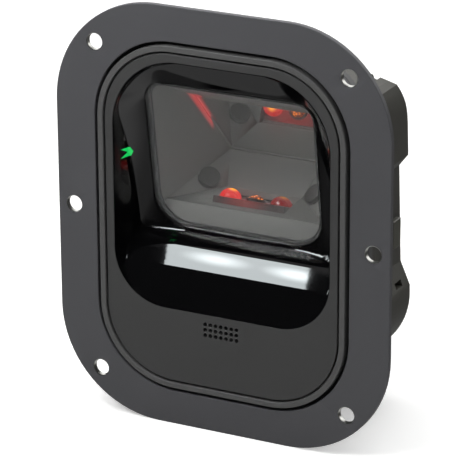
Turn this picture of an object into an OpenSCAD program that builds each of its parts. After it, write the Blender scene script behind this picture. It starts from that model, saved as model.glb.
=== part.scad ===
/* [Head] */
// Width of the scanner head
head_w = 90.6; // [86:0.2:100]
// Height of the scanner head
head_h = 120.4; // [114:0.2:132]
// Corner radius of the head
head_corner_r = 27.5; // [20:0.5:32]
// Width of the raised rim round the face
rim_w = 2; // [1.6:0.1:3]
// Height of the rim above the flange
rim_proud = 0.6; // [0.2:0.1:2]
// Width of the parting groove inside the rim
groove_w = 0.7; // [0.4:0.1:1.2]
// Length of the bezel behind the rim
bezel_depth = 14.6; // [13.6:0.1:18]
// Thickness of the face cover
cover_t = 2; // [1.5:0.1:3]

/* [Mounting flange] */
// Thickness of the flange plate
flange_t = 2; // [1.5:0.1:4]
// Width of the flange beside the head
land_side = 14.45; // [12:0.05:24]
// Width of the flange above and below the head
land_end = 12.05; // [10:0.05:24]
// Corner radius of the flange
flange_corner_r = 37; // [30:0.5:44]
// Gap between the head and the flange
flange_gap = 1.25; // [0.6:0.05:2]
// Height of the collar behind the flange plate
collar_depth = 9; // [6:0.5:9.5]
// Wall of the collar
collar_wall = 2; // [1.5:0.1:3]
// Diameter of the mounting screw holes
screw_hole_d = 5.5; // [3.5:0.1:6.5]
// Corner hole to the side edge of the flange
corner_hole_x = 15; // [13:0.5:18]
// Corner hole to the top or bottom edge of the flange
corner_hole_z = 15.5; // [13:0.5:18]
// Side hole to the side edge of the flange
side_hole_x = 6; // [5:0.5:7]

/* [Visor] */
// Matt border between the visor and the edge of the cover
visor_border = 3; // [2:0.1:5]
// Height of the matt chin under the visor
chin_h = 26.1; // [24:0.1:34]
// Top corner radius of the visor
visor_top_r = 24; // [16:0.5:27]
// Bottom corner radius of the visor
visor_bottom_r = 18.5; // [14:0.5:24]
// Wall of the visor
visor_wall = 1.2; // [1:0.1:1.4]
// Run of the steep visor wall for each millimetre of its depth
visor_draft = 0.26; // [0.2:0.01:0.35]
// Start of the steep wall below the top of the visor
wall_start = 10.5; // [8:0.5:14]
// Growth of the steep wall for each millimetre down the side
wall_growth = 0.235; // [0.15:0.005:0.25]
// Growth of the steep wall for each millimetre up from the chin
wall_foot_growth = 0.44; // [0.35:0.01:0.5]
// Width of the flanks beside the window
flank_w = 8.5; // [5:0.1:9]
// Height of the brow above the window
brow_h = 9.4; // [7:0.1:14]
// Depth of the window's top edge behind the face
brow_depth = 5.9; // [5:0.1:8]
// Height of the rounded nose under the window
nose_h = 23.4; // [18:0.1:28]
// Middle of a green pointer arrow in from the edge of the visor
arrow_in = 2.2; // [2.2:0.1:3]
// Length of a green pointer arrow
arrow_l = 2.6; // [2:0.1:3]
// Height of a green pointer arrow
arrow_h = 3.8; // [2.5:0.1:5]

/* [Window] */
// Tilt of the window, top edge forward
window_tilt = 8.75; // [4:0.25:12]
// Thickness of the pane
pane_t = 1.5; // [1:0.1:2]
// Width of the ledge that the pane rests on
pane_ledge = 1.2; // [0.8:0.1:2]
// Top corner radius of the pane
pane_top_r = 7; // [5:0.5:12]
// Bottom corner radius of the pane
pane_bottom_r = 12; // [8:0.5:16]
// Thickness of the foam seal behind the window
seal_t = 0.8; // [0.5:0.1:1.5]

/* [Light chamber] */
// Wall of the light chamber
chamber_wall = 2; // [1.6:0.1:2.4]
// Distance from the foot of the pane back to the rear crease
crease_depth = 28.9; // [26:0.1:30]
// Height of the rear crease above the foot of the pane
crease_h = 20.2; // [17:0.1:22]
// Width of the chamber at the rear crease
crease_w = 35; // [31:0.5:42]
// Lean of the fold mirror from the horizontal
mirror_lean = 55.5; // [52:0.5:58]
// Height of the fold mirror along its lean
mirror_l = 28; // [24:0.5:29]
// Thickness of the fold mirror
mirror_t = 2; // [1.5:0.1:2.5]
// Slope of the rear wall under the crease
rear_wall_slope = 47; // [42:1:52]
// Slope of the chamber floor
floor_slope = 6.5; // [3:0.5:9]
// Height of the floor's front lip above the bottom of the pane
floor_lip_h = 8.5; // [7:0.1:10]
// Distance of the floor's front lip behind the bottom of the pane
floor_lip_depth = 3.9; // [3.4:0.1:6]
// Width of the floor at its rear edge
floor_rear_w = 28; // [27:0.5:32]
// Diameter of the round ports in the side facets
port_d = 7.4; // [5:0.1:8]

/* [Scan engine] */
// Width of the scan engine
engine_w = 26.6; // [25:0.2:27]
// Depth of the scan engine
engine_d = 11; // [10.4:0.1:12]
// Height of the scan engine
engine_h = 7.4; // [6.8:0.2:9]
// Diameter of the imaging lens barrel
barrel_d = 6.8; // [5:0.1:8]
// Diameter of the red illumination lenses
led_lens_d = 6.6; // [5:0.1:7.2]

/* [Speaker] */
// Columns of grille holes
grille_cols = 7; // [3:1:9]
// Rows of grille holes
grille_rows = 3; // [1:1:4]
// Pitch of the grille holes
grille_pitch = 1.94; // [1.6:0.01:2.2]
// Diameter of a grille hole
grille_hole_d = 1.35; // [0.8:0.05:1.5]
// Middle of the grille below the visor
grille_drop = 5.5; // [4.5:0.1:8]
// Width of the speaker
speaker_w = 18; // [16:0.5:24]
// Height of the speaker
speaker_h = 8.4; // [8:0.1:8.6]
// Depth of the speaker
speaker_d = 4; // [3:0.1:6]

/* [Rear housing] */
// Wall of the rear housing
housing_wall = 2.5; // [2:0.1:3]
// Depth of the rear wall behind the flange at mid height
rear_y = 48.6; // [47:0.2:56]
// Lean of the rear wall, top edge forward
rear_lean = 3.8; // [2:0.2:5]
// Radius of the rear top edge
rear_top_r = 36; // [24:1:44]
// Radius of the rear bottom edge
rear_bottom_r = 8; // [4:0.5:12]
// Height of the crown of the top face above the middle
crown_h = 52; // [50:0.5:56]
// Radius of the crown of the top face
crown_r = 110; // [90:5:160]
// Depth of the recessed waist at each side
waist_depth = 3.3; // [2:0.1:4]
// Top of the waist above the middle
waist_top = 13; // [8:0.5:16]
// Bottom of the waist below the middle
waist_bottom = 22; // [16:0.5:26]
// Width of the cable socket
socket_w = 16; // [14:0.5:20]
// Height of the cable socket
socket_h = 13.4; // [12:0.2:16]

/* [Boards] */
// Thickness of the circuit boards
board_t = 1.6; // [1:0.1:1.6]
// Width of the main board
board_w = 64; // [52:1:68]
// Height of the main board
board_h = 40; // [34:1:41]
// Distance of the main board behind the flange
board_y = 36; // [35:0.5:38]

/* [Clearances] */
// Gap round the pane, the visor and other set-in pieces
fit_gap = 0.15; // [0.1:0.01:0.3]
// Gap between neighbouring pieces inside
air_gap = 0.3; // [0.2:0.05:0.5]

/* [Hidden] */
$fn = 64;

// Overlap used where one cut runs past a face
over = 1;

// Planes along Y: the face of the rim, the cover and the joints behind it
face_y = -(flange_t + rim_proud);
bezel_y = face_y + bezel_depth;
cover_recess = 0.3;
cover_y = face_y + cover_recess;
cover_back_y = cover_y + cover_t;

// Outlines of the head, the cover and the flange
head_x = head_w / 2;
head_z = head_h / 2;
cover_in = rim_w + groove_w;
opening_x = head_x + flange_gap;
opening_z = head_z + flange_gap;
flange_x = opening_x + land_side;
flange_z = opening_z + land_end;

// Outline of the visor
visor_x = head_x - cover_in - visor_border;
visor_top = head_z - cover_in - visor_border;
visor_bottom = -head_z + cover_in + chin_h;
visor_flange_w = 1;
visor_flange_t = 1.2;

// Outline of the aperture that holds the pane, and the tilted frame at its middle
tilt_sin = sin(window_tilt);
tilt_cos = cos(window_tilt);
pane_top = visor_top - brow_h;
pane_bottom = visor_bottom + nose_h;
pane_x = visor_x - flank_w;
pane_z = (pane_top - pane_bottom) / 2 / tilt_cos;
window_z = (pane_top + pane_bottom) / 2;
window_y = cover_y + brow_depth + (pane_top - window_z) * tilt_sin / tilt_cos;
nose_depth = brow_depth + (pane_top - pane_bottom) * tilt_sin / tilt_cos;
ledge_t = 1.2;
ledge_back = pane_t + ledge_t;
chamber_front = ledge_back + seal_t;
chamber_flange_t = 2;
chamber_flange_w = 1.6;

// Bosses and screws
boss_r = 3.4;
pilot_r = 1;
shank_r = 1;
pilot_gap = 0.02;
boss_front = bezel_y - 5;
screw_head_r = 1.9;
screw_head_h = 1.4;
pilot_depth = 4;
lug_z = 20;
lug_x = opening_x + collar_wall + boss_r / 2;
tower_x = head_x - rim_w - boss_r + 0.5;
tower_z = head_z - head_corner_r + boss_r;
// Screw ears of the light chamber: midway between pointer light and upper boss, and by the pane's foot
pointer_tab_h = 8;
ear_z = [(tower_z - boss_r + window_z + pointer_tab_h / 2) / 2, pane_bottom + 6];
ear_t = 2;
ear_x = head_x - housing_wall - air_gap;
// Bosses under the ears: slimmer, and clear of the visor's deep wall
ear_boss_r = 2.8;
ear_boss_x = head_x - rim_w - ear_boss_r + air_gap;
ear_boss_front = bezel_y - 2;
// Front face of an ear of the light chamber: on the bezel, but behind the window frame
function ear_y(z) = max(bezel_y, from_window(0, chamber_front, (z - boss_r - window_z) / tilt_cos)[1]);

// Outline of the bezel's inner ledge
ledge_in = rim_w + 2.4;
bezel_ledge_t = 1.6;

// Pieces of the visor surface: rings from the outer edge in to the window, and points round a ring
rings = 9;
arc_steps = 10;
side_steps = 4;

// Points of the rounded rectangle [half width, top, bottom, top radius, bottom radius] in X and Z,
// clockwise from the top right corner, with the same count for every size
function arc_points(cx, cz, r, from) =
    [for (i = [0:arc_steps]) let (a = from - 90 * i / arc_steps) [cx + r * cos(a), cz + r * sin(a)]];
function between(a, b) = [for (i = [1:side_steps - 1]) a + (b - a) * i / side_steps];
function ring_points(s) = let (
        tr = arc_points(s[0] - s[3], s[1] - s[3], s[3], 90),
        br = arc_points(s[0] - s[4], s[2] + s[4], s[4], 0),
        bl = arc_points(s[4] - s[0], s[2] + s[4], s[4], 270),
        tl = arc_points(s[3] - s[0], s[1] - s[3], s[3], 180)
    ) concat(tr, between(tr[arc_steps], br[0]), br, between(br[arc_steps], bl[0]),
             bl, between(bl[arc_steps], tl[0]), tl, between(tl[arc_steps], tr[0]));
ring_count = 4 * (arc_steps + side_steps);

// Share of the nose in the floor at each point of a ring: 1 under the window, 0 beside and above it
function smooth(t) = t * t * (3 - 2 * t);
corner_share = [for (i = [0:arc_steps]) smooth(i / arc_steps)];
plain_side = [for (i = [1:side_steps - 1]) 0];
plain_corner = [for (i = [0:arc_steps]) 0];
nose_share = concat(plain_corner, plain_side, corner_share, [for (p = plain_side) 1],
                    [for (i = [0:arc_steps]) corner_share[arc_steps - i]],
                    plain_side, plain_corner, plain_side);

aperture = [pane_x + fit_gap, pane_z + fit_gap, -pane_z - fit_gap,
            pane_top_r + fit_gap, pane_bottom_r + fit_gap];
function grown(s, by) = [s[0] + by, s[1] + by, s[2] - by, s[3] + by, s[4] + by];

// Point of the tilted window frame in the frame of the part
function from_window(x, back, up) =
    [x, window_y + back * tilt_cos - up * tilt_sin, window_z + back * tilt_sin + up * tilt_cos];
function window_ring(s, back) = [for (p = ring_points(s)) from_window(p[0], back, p[1])];
function flat_ring(s, depth) = [for (p = ring_points(s)) [p[0], cover_y + depth, p[1]]];

// Each point of the visor's outline has a way in to its partner on the aperture
visor_shape = [visor_x, visor_top, visor_bottom, visor_top_r, visor_bottom_r];
edge_points = ring_points(visor_shape);
aperture_points = window_ring(aperture, 0);
way_in = [for (i = [0:ring_count - 1])
    [aperture_points[i][0], aperture_points[i][2]] - edge_points[i]];
inward = [for (i = [0:ring_count - 1])
    let (d = edge_points[(i + 1) % ring_count] - edge_points[(i + ring_count - 1) % ring_count])
    [d[1], -d[0]] / norm(d)];

// Depth of the steep wall at height z: it grows down the side and runs out again at the chin
chin_run = 6;
function wall_depth(z) = let (rise = z - visor_bottom) min(
    wall_growth * max(0, visor_top - wall_start - z),
    wall_foot_growth * rise * smooth(min(1, rise / chin_run)));

// Share u of the way at point i where the wall meets the floor: the floor runs from the wall's foot
// to the window, evenly beside it and as a quarter ellipse under it
least_share = 0.03;
crease_share = [for (i = [0:ring_count - 1]) let (
        foot = wall_depth(edge_points[i][1]), fall = aperture_points[i][1] - cover_y - foot,
        steep = (way_in[i] * inward[i]) * (1 + (PI / 2 - 1) * nose_share[i]) / visor_draft
    ) max(least_share, foot / (steep - fall * (1 - nose_share[i])))];
function floor_point(i, u) = let (
        share = nose_share[i],
        way = u + (sin(90 * u) - u) * share,
        fall = u + (1 - cos(90 * u) - u) * share,
        foot = wall_depth(edge_points[i][1]),
        flat = edge_points[i] + way_in[i] * way
    ) [flat[0], cover_y + foot + (aperture_points[i][1] - cover_y - foot) * fall, flat[1]];

// Front surface of the visor: the outline, then rings from the crease in to the window
function visor_front(k) = k == 0 ? flat_ring(visor_shape, 0) : [for (i = [0:ring_count - 1])
    floor_point(i, crease_share[i] + (1 - crease_share[i]) * (k - 1) / (rings - 1))];
// Back surface of the visor: the front one moved out, by less than the flange, and back by the wall
visor_out = visor_flange_w - 0.1;
function behind(points, back) = [for (i = [0:ring_count - 1]) let (p = points[i]) [
    p[0] - inward[i][0] * visor_out,
    max(p[1] + back, cover_back_y + visor_flange_t),
    p[2] - inward[i][1] * visor_out]];
function visor_back(k) = behind(visor_front(k), visor_wall);
function wall_back() = let (outer = visor_front(0), inner = visor_front(1))
    behind([for (i = [0:ring_count - 1]) (outer[i] + inner[i]) / 2], air_gap);

// Closed skin over a list of rings that ends where it began
module ring_skin(list) {
    n = len(list);
    m = ring_count;
    polyhedron(
        points = [for (r = list) each r],
        faces = [for (k = [0:n - 1], i = [0:m - 1]) let (
            a = k * m + i, b = k * m + (i + 1) % m,
            c = ((k + 1) % n) * m + (i + 1) % m, d = ((k + 1) % n) * m + i
        ) each [[a, c, b], [a, d, c]]]
    );
}

// Closed skin over a list of rings, with a fan of triangles from a corner point over the first and
// the last
module capped_skin(list) {
    n = len(list);
    m = ring_count;
    fan = [for (i = [1:m - 2]) [arc_steps / 2, (arc_steps / 2 + i) % m, (arc_steps / 2 + i + 1) % m]];
    polyhedron(
        points = [for (r = list) each r],
        faces = concat(
            fan,
            [for (k = [0:n - 2], i = [0:m - 1]) let (
                a = k * m + i, b = k * m + (i + 1) % m, c = b + m, d = a + m
            ) each [[a, c, b], [a, d, c]]],
            [for (f = fan) [for (i = [2, 1, 0]) (n - 1) * m + f[i]]]
        )
    );
}

// Flat shape in X and Z, carried along Y from y0 to y1
module slab(y0, y1) {
    translate([0, y1, 0]) rotate([90, 0, 0]) linear_extrude(y1 - y0) children();
}

// Round post along Y
module post(x, z, r, y0, y1) {
    translate([x, y0, z]) rotate([-90, 0, 0]) cylinder(r = r, h = y1 - y0);
}

// Rounded rectangle with true arcs, from [half width, top, bottom, top radius, bottom radius]
module rounded(s) {
    translate([-s[0], s[2] + s[4]]) square([2 * s[0], s[1] - s[3] - s[2] - s[4]]);
    translate([s[3] - s[0], 0]) square([2 * (s[0] - s[3]), s[1]]);
    translate([s[4] - s[0], s[2]]) square([2 * (s[0] - s[4]), -s[2]]);
    for (side = [-1, 1]) {
        translate([side * (s[0] - s[3]), s[1] - s[3]]) circle(r = s[3]);
        translate([side * (s[0] - s[4]), s[2] + s[4]]) circle(r = s[4]);
    }
}

// Outline of the head, grown by a distance
function head_shape(by) =
    [head_x + by, head_z + by, -head_z - by, head_corner_r + by, head_corner_r + by];

// Screw along Y with its head at the rear
module rear_screw(x, z, head_front, length) {
    post(x, z, screw_head_r, head_front, head_front + screw_head_h);
    post(x, z, shank_r, head_front - length, head_front + over / 2);
}

// Plate that holds the head in a panel, with its six holes, the collar and the screw lugs
module mounting_flange() {
    color("#4a4a4d") difference() {
        union() {
            slab(-flange_t, 0) rounded([flange_x, flange_z, -flange_z, flange_corner_r, flange_corner_r]);
            slab(-flange_t / 2, collar_depth) rounded(head_shape(flange_gap + collar_wall));
            for (sx = [-1, 1], sz = [-1, 1])
                post(sx * lug_x, sz * lug_z, boss_r, -flange_t / 2, collar_depth);
        }
        slab(-flange_t - over, collar_depth + over) rounded(head_shape(flange_gap));
        for (sx = [-1, 1]) {
            post(sx * (flange_x - side_hole_x), 0, screw_hole_d / 2, -flange_t - over, over);
            for (sz = [-1, 1]) {
                post(sx * (flange_x - corner_hole_x), sz * (flange_z - corner_hole_z),
                     screw_hole_d / 2, -flange_t - over, over);
                post(sx * lug_x, sz * lug_z, pilot_r + pilot_gap, collar_depth - pilot_depth,
                     collar_depth + over);
            }
        }
    }
}

// Rubber ring in the gap between collar and head
gasket_y = 1;
module flange_gasket() {
    color("#161616") difference() {
        slab(gasket_y, collar_depth) rounded(head_shape(flange_gap));
        slab(gasket_y - over, collar_depth + over) rounded(head_shape(0));
    }
}

// Screws through the bezel's shoulder into the lugs of the collar
module flange_screws() {
    color("#b8b8ba") for (sx = [-1, 1], sz = [-1, 1])
        rear_screw(sx * lug_x, sz * lug_z, bezel_y, bezel_y - collar_depth + pilot_depth - over);
}

// Front ring of the head, with the ledge for the cover, the shoulder and the screw bosses
module front_bezel() {
    color("#5a5a5a") difference() {
        union() {
            difference() {
                slab(face_y, bezel_y) rounded(head_shape(0));
                slab(face_y - over, bezel_y + over) rounded(head_shape(-rim_w));
            }
            difference() {
                slab(cover_back_y, cover_back_y + bezel_ledge_t) rounded(head_shape(-rim_w / 2));
                slab(cover_back_y - over, bezel_y) rounded(head_shape(-ledge_in));
            }
            difference() {
                union() {
                    slab(collar_depth, bezel_y) rounded(head_shape(flange_gap + collar_wall));
                    for (sx = [-1, 1], sz = [-1, 1])
                        post(sx * lug_x, sz * lug_z, boss_r, collar_depth, bezel_y);
                }
                slab(collar_depth - over, bezel_y + over) rounded(head_shape(-rim_w / 2));
            }
            intersection() {
                for (sx = [-1, 1]) {
                    for (sz = [-1, 1]) post(sx * tower_x, sz * tower_z, boss_r, boss_front, bezel_y);
                    for (z = ear_z) post(sx * ear_boss_x, z, ear_boss_r, ear_boss_front, ear_y(z));
                }
                union() {
                    slab(face_y, bezel_y) rounded(head_shape(-rim_w / 2));
                    slab(face_y, 2 * bezel_y) rounded(head_shape(ear_x - head_x));
                }
            }
        }
        for (sx = [-1, 1], sz = [-1, 1]) {
            post(sx * lug_x, sz * lug_z, shank_r + fit_gap, collar_depth - over, bezel_y + over);
            post(sx * tower_x, sz * tower_z, pilot_r + pilot_gap, bezel_y - pilot_depth, bezel_y + over);
        }
        for (sx = [-1, 1], z = ear_z)
            post(sx * ear_boss_x, z, pilot_r + pilot_gap, ear_y(z) - pilot_depth, ear_y(z) + over);
    }
}

// Matt cover in the rim, with the visor's opening and the speaker grille
grille_z = visor_bottom - grille_drop;
module face_cover() {
    color("#3a3a3b") difference() {
        slab(cover_y, cover_back_y) rounded(head_shape(-cover_in));
        slab(cover_y - over, cover_back_y + over) rounded(grown(visor_shape, fit_gap));
        for (i = [0:grille_cols - 1], j = [0:grille_rows - 1])
            post((i - (grille_cols - 1) / 2) * grille_pitch,
                 grille_z + (j - (grille_rows - 1) / 2) * grille_pitch,
                 grille_hole_d / 2, cover_y - over, cover_back_y + over);
    }
}

// Arrow outline pointing at the window from the right, grown by a distance
arrow_x = visor_x - arrow_in;
arrow_z = window_z + 0.5;
arrow_stroke = 1;
module arrow(by) {
    half = arrow_h / 2 + by;
    tip = -arrow_l / 2 - by;
    tail = arrow_l / 2 + by;
    notch = tip + arrow_stroke + 2 * by;
    translate([arrow_x, arrow_z]) polygon([
        [tip, 0], [tail - arrow_stroke, half], [tail, half], [notch, 0],
        [tail, -half], [tail - arrow_stroke, -half]
    ]);
}

// Gloss bowl round the window: steep wall, facets, brow and nose on the front, a ledge for the pane
module visor() {
    edge = visor_shape;
    front = [for (k = [0:rings - 1]) visor_front(k)];
    back = concat([for (k = [rings - 1:-1:1]) visor_back(k)], [wall_back()]);
    color("#0c0c0d") difference() {
        ring_skin(concat(
            front,
            [aperture_points,
             window_ring(aperture, pane_t),
             window_ring(grown(aperture, -fit_gap - pane_ledge), pane_t),
             window_ring(grown(aperture, -fit_gap - pane_ledge), ledge_back),
             window_ring(grown(aperture, visor_wall), ledge_back)],
            back,
            [flat_ring(grown(edge, visor_flange_w), cover_t + visor_flange_t),
             flat_ring(grown(edge, visor_flange_w), cover_t),
             flat_ring(edge, cover_t)]
        ));
        for (side = [0, 1]) mirror([side, 0, 0]) slab(cover_y, window_y + visor_wall) arrow(fit_gap);
    }
}

// Green light guide that fills the arrow in the visor's right flank
led_front = ledge_back + seal_t - 2.5;
guide_end_y = from_window(0, led_front - air_gap, arrow_z - window_z)[1];
module pointer_light() {
    color("#19c65a") difference() {
        slab(cover_y, guide_end_y) arrow(0);
        capped_skin(concat([flat_ring(visor_shape, -over)],
            [for (k = [0:rings - 1]) visor_front(k)], [aperture_points]));
    }
}
module pointer_light_left() mirror([1, 0, 0]) pointer_light();
module pointer_light_right() pointer_light();

// Place of the tilted window: X to the right, Y back through the pane, Z up along it
module in_window() {
    translate([0, window_y, window_z]) rotate([window_tilt, 0, 0]) children();
}

// Small board with the green LED behind the right light guide
pointer_board_t = 1;
module pointer_board() {
    color("#1f5a35") in_window() {
        translate([pane_x + visor_wall + 2 * air_gap, chamber_front - pointer_board_t, -pointer_tab_h / 2])
            cube([visor_x - pane_x - visor_wall - 2 * air_gap, pointer_board_t, pointer_tab_h]);
        translate([arrow_x - 1, led_front, arrow_z - window_z - 1.5])
            cube([2, chamber_front - led_front, 3]);
    }
}
module pointer_board_left() mirror([1, 0, 0]) pointer_board();
module pointer_board_right() pointer_board();

// Clear pane
pane_shape = [pane_x, pane_z, -pane_z, pane_top_r, pane_bottom_r];
module scan_window() {
    color([0.5, 0.5, 0.55, 0.35]) in_window() slab(0, pane_t) rounded(pane_shape);
}

// Foam frame between the visor's ledge and the chamber
module window_seal() {
    color("#202020") in_window() difference() {
        slab(ledge_back, chamber_front) rounded(pane_shape);
        slab(ledge_back - over, chamber_front + over) rounded(grown(pane_shape, -pane_ledge));
    }
}

// Corners of the chamber's hollow in Y and Z, in order: window top, window bottom, floor lip,
// floor rear, crease, mirror top
pane_foot = from_window(0, 0, -pane_z);
crease = [pane_foot[1] + crease_depth, pane_foot[2] + crease_h];
function window_line(up) =
    let (p = from_window(0, chamber_front, up)) [p[1], p[2]];
hollow_z = pane_z - pane_ledge;
hollow_x = pane_x - pane_ledge;
floor_lip = [pane_foot[1] + floor_lip_depth, pane_foot[2] + floor_lip_h];
mirror_up = [-cos(mirror_lean), sin(mirror_lean)];
mirror_top = crease + mirror_up * mirror_l;
// Meeting of the floor line with the rear wall's line through the crease
floor_rear = let (
        f = [cos(floor_slope), sin(floor_slope)], w = [cos(rear_wall_slope), sin(rear_wall_slope)],
        gap = crease - floor_lip, t = (gap[0] * w[1] - gap[1] * w[0]) / (f[0] * w[1] - f[1] * w[0])
    ) floor_lip + f * t;
hollow_line = [window_line(hollow_z), window_line(-hollow_z), floor_lip, floor_rear, crease, mirror_top];

// Half width between the side walls, which run straight from the window to the crease
function behind_window(p) =
    (p[0] - window_y) * tilt_cos + (p[1] - window_z) * tilt_sin - chamber_front;
side_fall = (hollow_x - crease_w / 2) / behind_window(crease);
function side_x(p) = hollow_x - side_fall * behind_window(p);

// Corner b of the outline a-b-c with its two edges moved out by g1 and g2
function moved_corner(a, b, c, g1, g2) = let (
        e1 = (b - a) / norm(b - a), e2 = (c - b) / norm(c - b),
        n1 = [e1[1], -e1[0]], n2 = [e2[1], -e2[0]], det = n1[0] * n2[1] - n1[1] * n2[0]
    ) b + [g1 * n2[1] - g2 * n1[1], g2 * n1[0] - g1 * n2[0]] / det;

// Solid with the outline of the hollow, its walls moved out by g and its front by g_front
module chamber_form(g, g_front) {
    n = len(hollow_line);
    line = [for (i = [0:n - 1]) moved_corner(hollow_line[(i + n - 1) % n], hollow_line[i],
        hollow_line[(i + 1) % n], i == 1 ? g_front : g, i == 0 ? g_front : g)];
    half = [for (i = [0:n - 1]) (i == 3 ? floor_rear_w / 2 : side_x(line[i])) + g];
    polyhedron(
        points = [for (s = [-1, 1], i = [0:n - 1]) [s * half[i], line[i][0], line[i][1]]],
        faces = concat(
            [[0, 1, 2, 4, 5], [2, 3, 4], [n + 5, n + 4, n + 2, n + 1, n], [n + 4, n + 3, n + 2]],
            [for (i = [0:n - 1]) let (j = (i + 1) % n) [i, n + i, n + j, j]]
        )
    );
}

// Place of the fold mirror: origin in the middle of the crease, Z up along the mirror, Y to its back
module in_mirror() {
    translate([0, crease[0], crease[1]]) rotate([90 - mirror_lean, 0, 0]) children();
}
mirror_frame_t = 0.6;
mirror_edge = 0.6;
mirror_bottom_x = crease_w / 2;
mirror_top_x = side_x(mirror_top);
module mirror_shape(by) {
    polygon([[-mirror_bottom_x - by, -by], [-mirror_top_x - by, mirror_l + by],
             [mirror_top_x + by, mirror_l + by], [mirror_bottom_x + by, -by]]);
}

// Place of the scan engine: origin in the middle of the floor opening, Z along its line of sight
engine_lean = 2 * mirror_lean - 90;
engine_span = engine_d / cos(engine_lean - floor_slope);
engine_mid = floor_rear - [cos(floor_slope), sin(floor_slope)] * (engine_span / 2 + 0.8);
module in_engine() {
    translate([0, engine_mid[0], engine_mid[1]]) rotate([-engine_lean, 0, 0]) children();
}
well_wall = 1.6;
well_depth = engine_h - 0.6;
well_x = engine_w / 2 + fit_gap;
well_y = engine_d / 2 + fit_gap;
engine_base_t = 1.2;
engine_boss_x = well_x + well_wall + boss_r / 2;

// Middle and direction of the round port in the right side facet
facet_a = [floor_rear_w / 2, floor_rear[0], floor_rear[1]];
facet_b = [crease_w / 2, crease[0], crease[1]];
facet_c = [side_x(floor_lip), floor_lip[0], floor_lip[1]];
facet_cross = cross(facet_b - facet_a, facet_c - facet_a);
facet_normal = facet_cross / norm(facet_cross);
port_mid = facet_a * 0.36 + facet_b * 0.32 + facet_c * 0.32;
module in_port() {
    translate(port_mid)
        rotate([0, acos(facet_normal[2]), atan2(facet_normal[1], facet_normal[0])]) children();
}

// Box in the frame of its caller, centred on X and Y
module centred_box(x, y, z0, z1) {
    translate([-x, -y, z0]) cube([2 * x, 2 * y, z1 - z0]);
}

// Inner end of the ears, inside the side walls of the hollow
ear_root_x = hollow_x - 3;

// Dark funnel behind the window, with the mirror's seat, the engine's well and the screw ears
module light_chamber() {
    color("#3d3b39") difference() {
        union() {
            chamber_form(chamber_wall, 0);
            in_window() slab(chamber_front, chamber_front + chamber_flange_t) union() {
                rounded(grown(pane_shape, chamber_flange_w));
                translate([-visor_x, -pointer_tab_h / 2]) square([2 * visor_x, pointer_tab_h]);
            }
            for (z = ear_z, side = [0, 1]) mirror([side, 0, 0]) difference() {
                translate([ear_root_x, ear_y(z), z - boss_r]) cube([ear_x - ear_root_x, ear_t, 2 * boss_r]);
                post(ear_boss_x, z, shank_r + fit_gap, ear_y(z) - over, ear_y(z) + ear_t + over);
            }
            in_engine() {
                centred_box(well_x + well_wall, well_y + well_wall, -well_depth, 0);
                for (sx = [-1, 1]) translate([sx * engine_boss_x, 0, -well_depth])
                    cylinder(r = boss_r - over / 2, h = well_depth);
            }
        }
        chamber_form(0, 3 * over);
        in_engine() {
            centred_box(well_x, well_y, -well_depth - over, 2 * chamber_wall + over);
            for (sx = [-1, 1]) translate([sx * engine_boss_x, 0, -well_depth - over])
                cylinder(r = pilot_r + pilot_gap, h = over + 4);
        }
        in_mirror() {
            slab(-over, chamber_wall + over) mirror_shape(-mirror_edge);
            slab(mirror_frame_t, chamber_wall + over) mirror_shape(fit_gap);
        }
        for (side = [0, 1]) mirror([side, 0, 0]) in_port()
            translate([0, 0, -2 * chamber_wall]) cylinder(d = port_d + 2 * fit_gap, h = 4 * chamber_wall);
    }
}

// Screws through the chamber's ears into the bezel
module chamber_screws() {
    color("#b8b8ba") for (sx = [-1, 1], z = ear_z)
        rear_screw(sx * ear_boss_x, z, ear_y(z) + ear_t, ear_t + pilot_depth - over);
}

// Dark cap in the round port
module port_cap() {
    color("#2c2a28") in_port() translate([0, 0, -chamber_wall + 0.2])
        cylinder(d = port_d, h = chamber_wall - 0.5);
}
module port_cap_left() mirror([1, 0, 0]) port_cap();
module port_cap_right() port_cap();

// Front-surface mirror at the back of the chamber
module fold_mirror() {
    color("#c9ccd0") in_mirror() slab(mirror_frame_t, mirror_frame_t + mirror_t) mirror_shape(0);
}

// Spring plate that holds the mirror in its seat
module mirror_bracket() {
    back = mirror_frame_t + mirror_t;
    color("#9a9c9e") in_mirror() slab(back, back + 0.6) difference() {
        mirror_shape(0);
        mirror_shape(-4);
    }
}

// Body of the scan engine in the well
engine_top = -0.6;
engine_foot_y = engine_d / 2 - 1.4;
led_seat = 2.4;
led_x = engine_w / 2 - led_lens_d / 2 - 0.5;
engine_bottom = -well_depth - engine_base_t;
module engine_chassis() {
    color("#1b1b1c") in_engine() difference() {
        union() {
            centred_box(engine_w / 2, engine_d / 2, -well_depth, engine_top);
            centred_box(engine_boss_x + boss_r - over / 2, engine_foot_y, engine_bottom, -well_depth);
        }
        translate([0, 0, -well_depth]) cylinder(d = barrel_d + 2 * fit_gap, h = engine_h);
        centred_box(barrel_d / 2 + 0.6, barrel_d / 2 + 0.6, engine_bottom - over, -well_depth + over);
        for (sx = [-1, 1]) {
            translate([sx * led_x, 0, engine_top - led_seat])
                cylinder(d = led_lens_d + 2 * fit_gap, h = led_seat + over);
            translate([sx * engine_boss_x, 0, engine_bottom - over])
                cylinder(r = shank_r + fit_gap, h = engine_base_t + 2 * over);
        }
    }
}

// Circuit board under the engine
module engine_board() {
    color("#1f5a35") in_engine()
        centred_box(engine_w / 2, engine_foot_y, engine_bottom - board_t, engine_bottom);
}

// Image sensor on the engine board
module image_sensor() {
    color("#2a2d33") in_engine()
        centred_box(barrel_d / 2 - 0.2, barrel_d / 2 - 0.4, engine_bottom, engine_bottom + 0.9);
}

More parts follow.
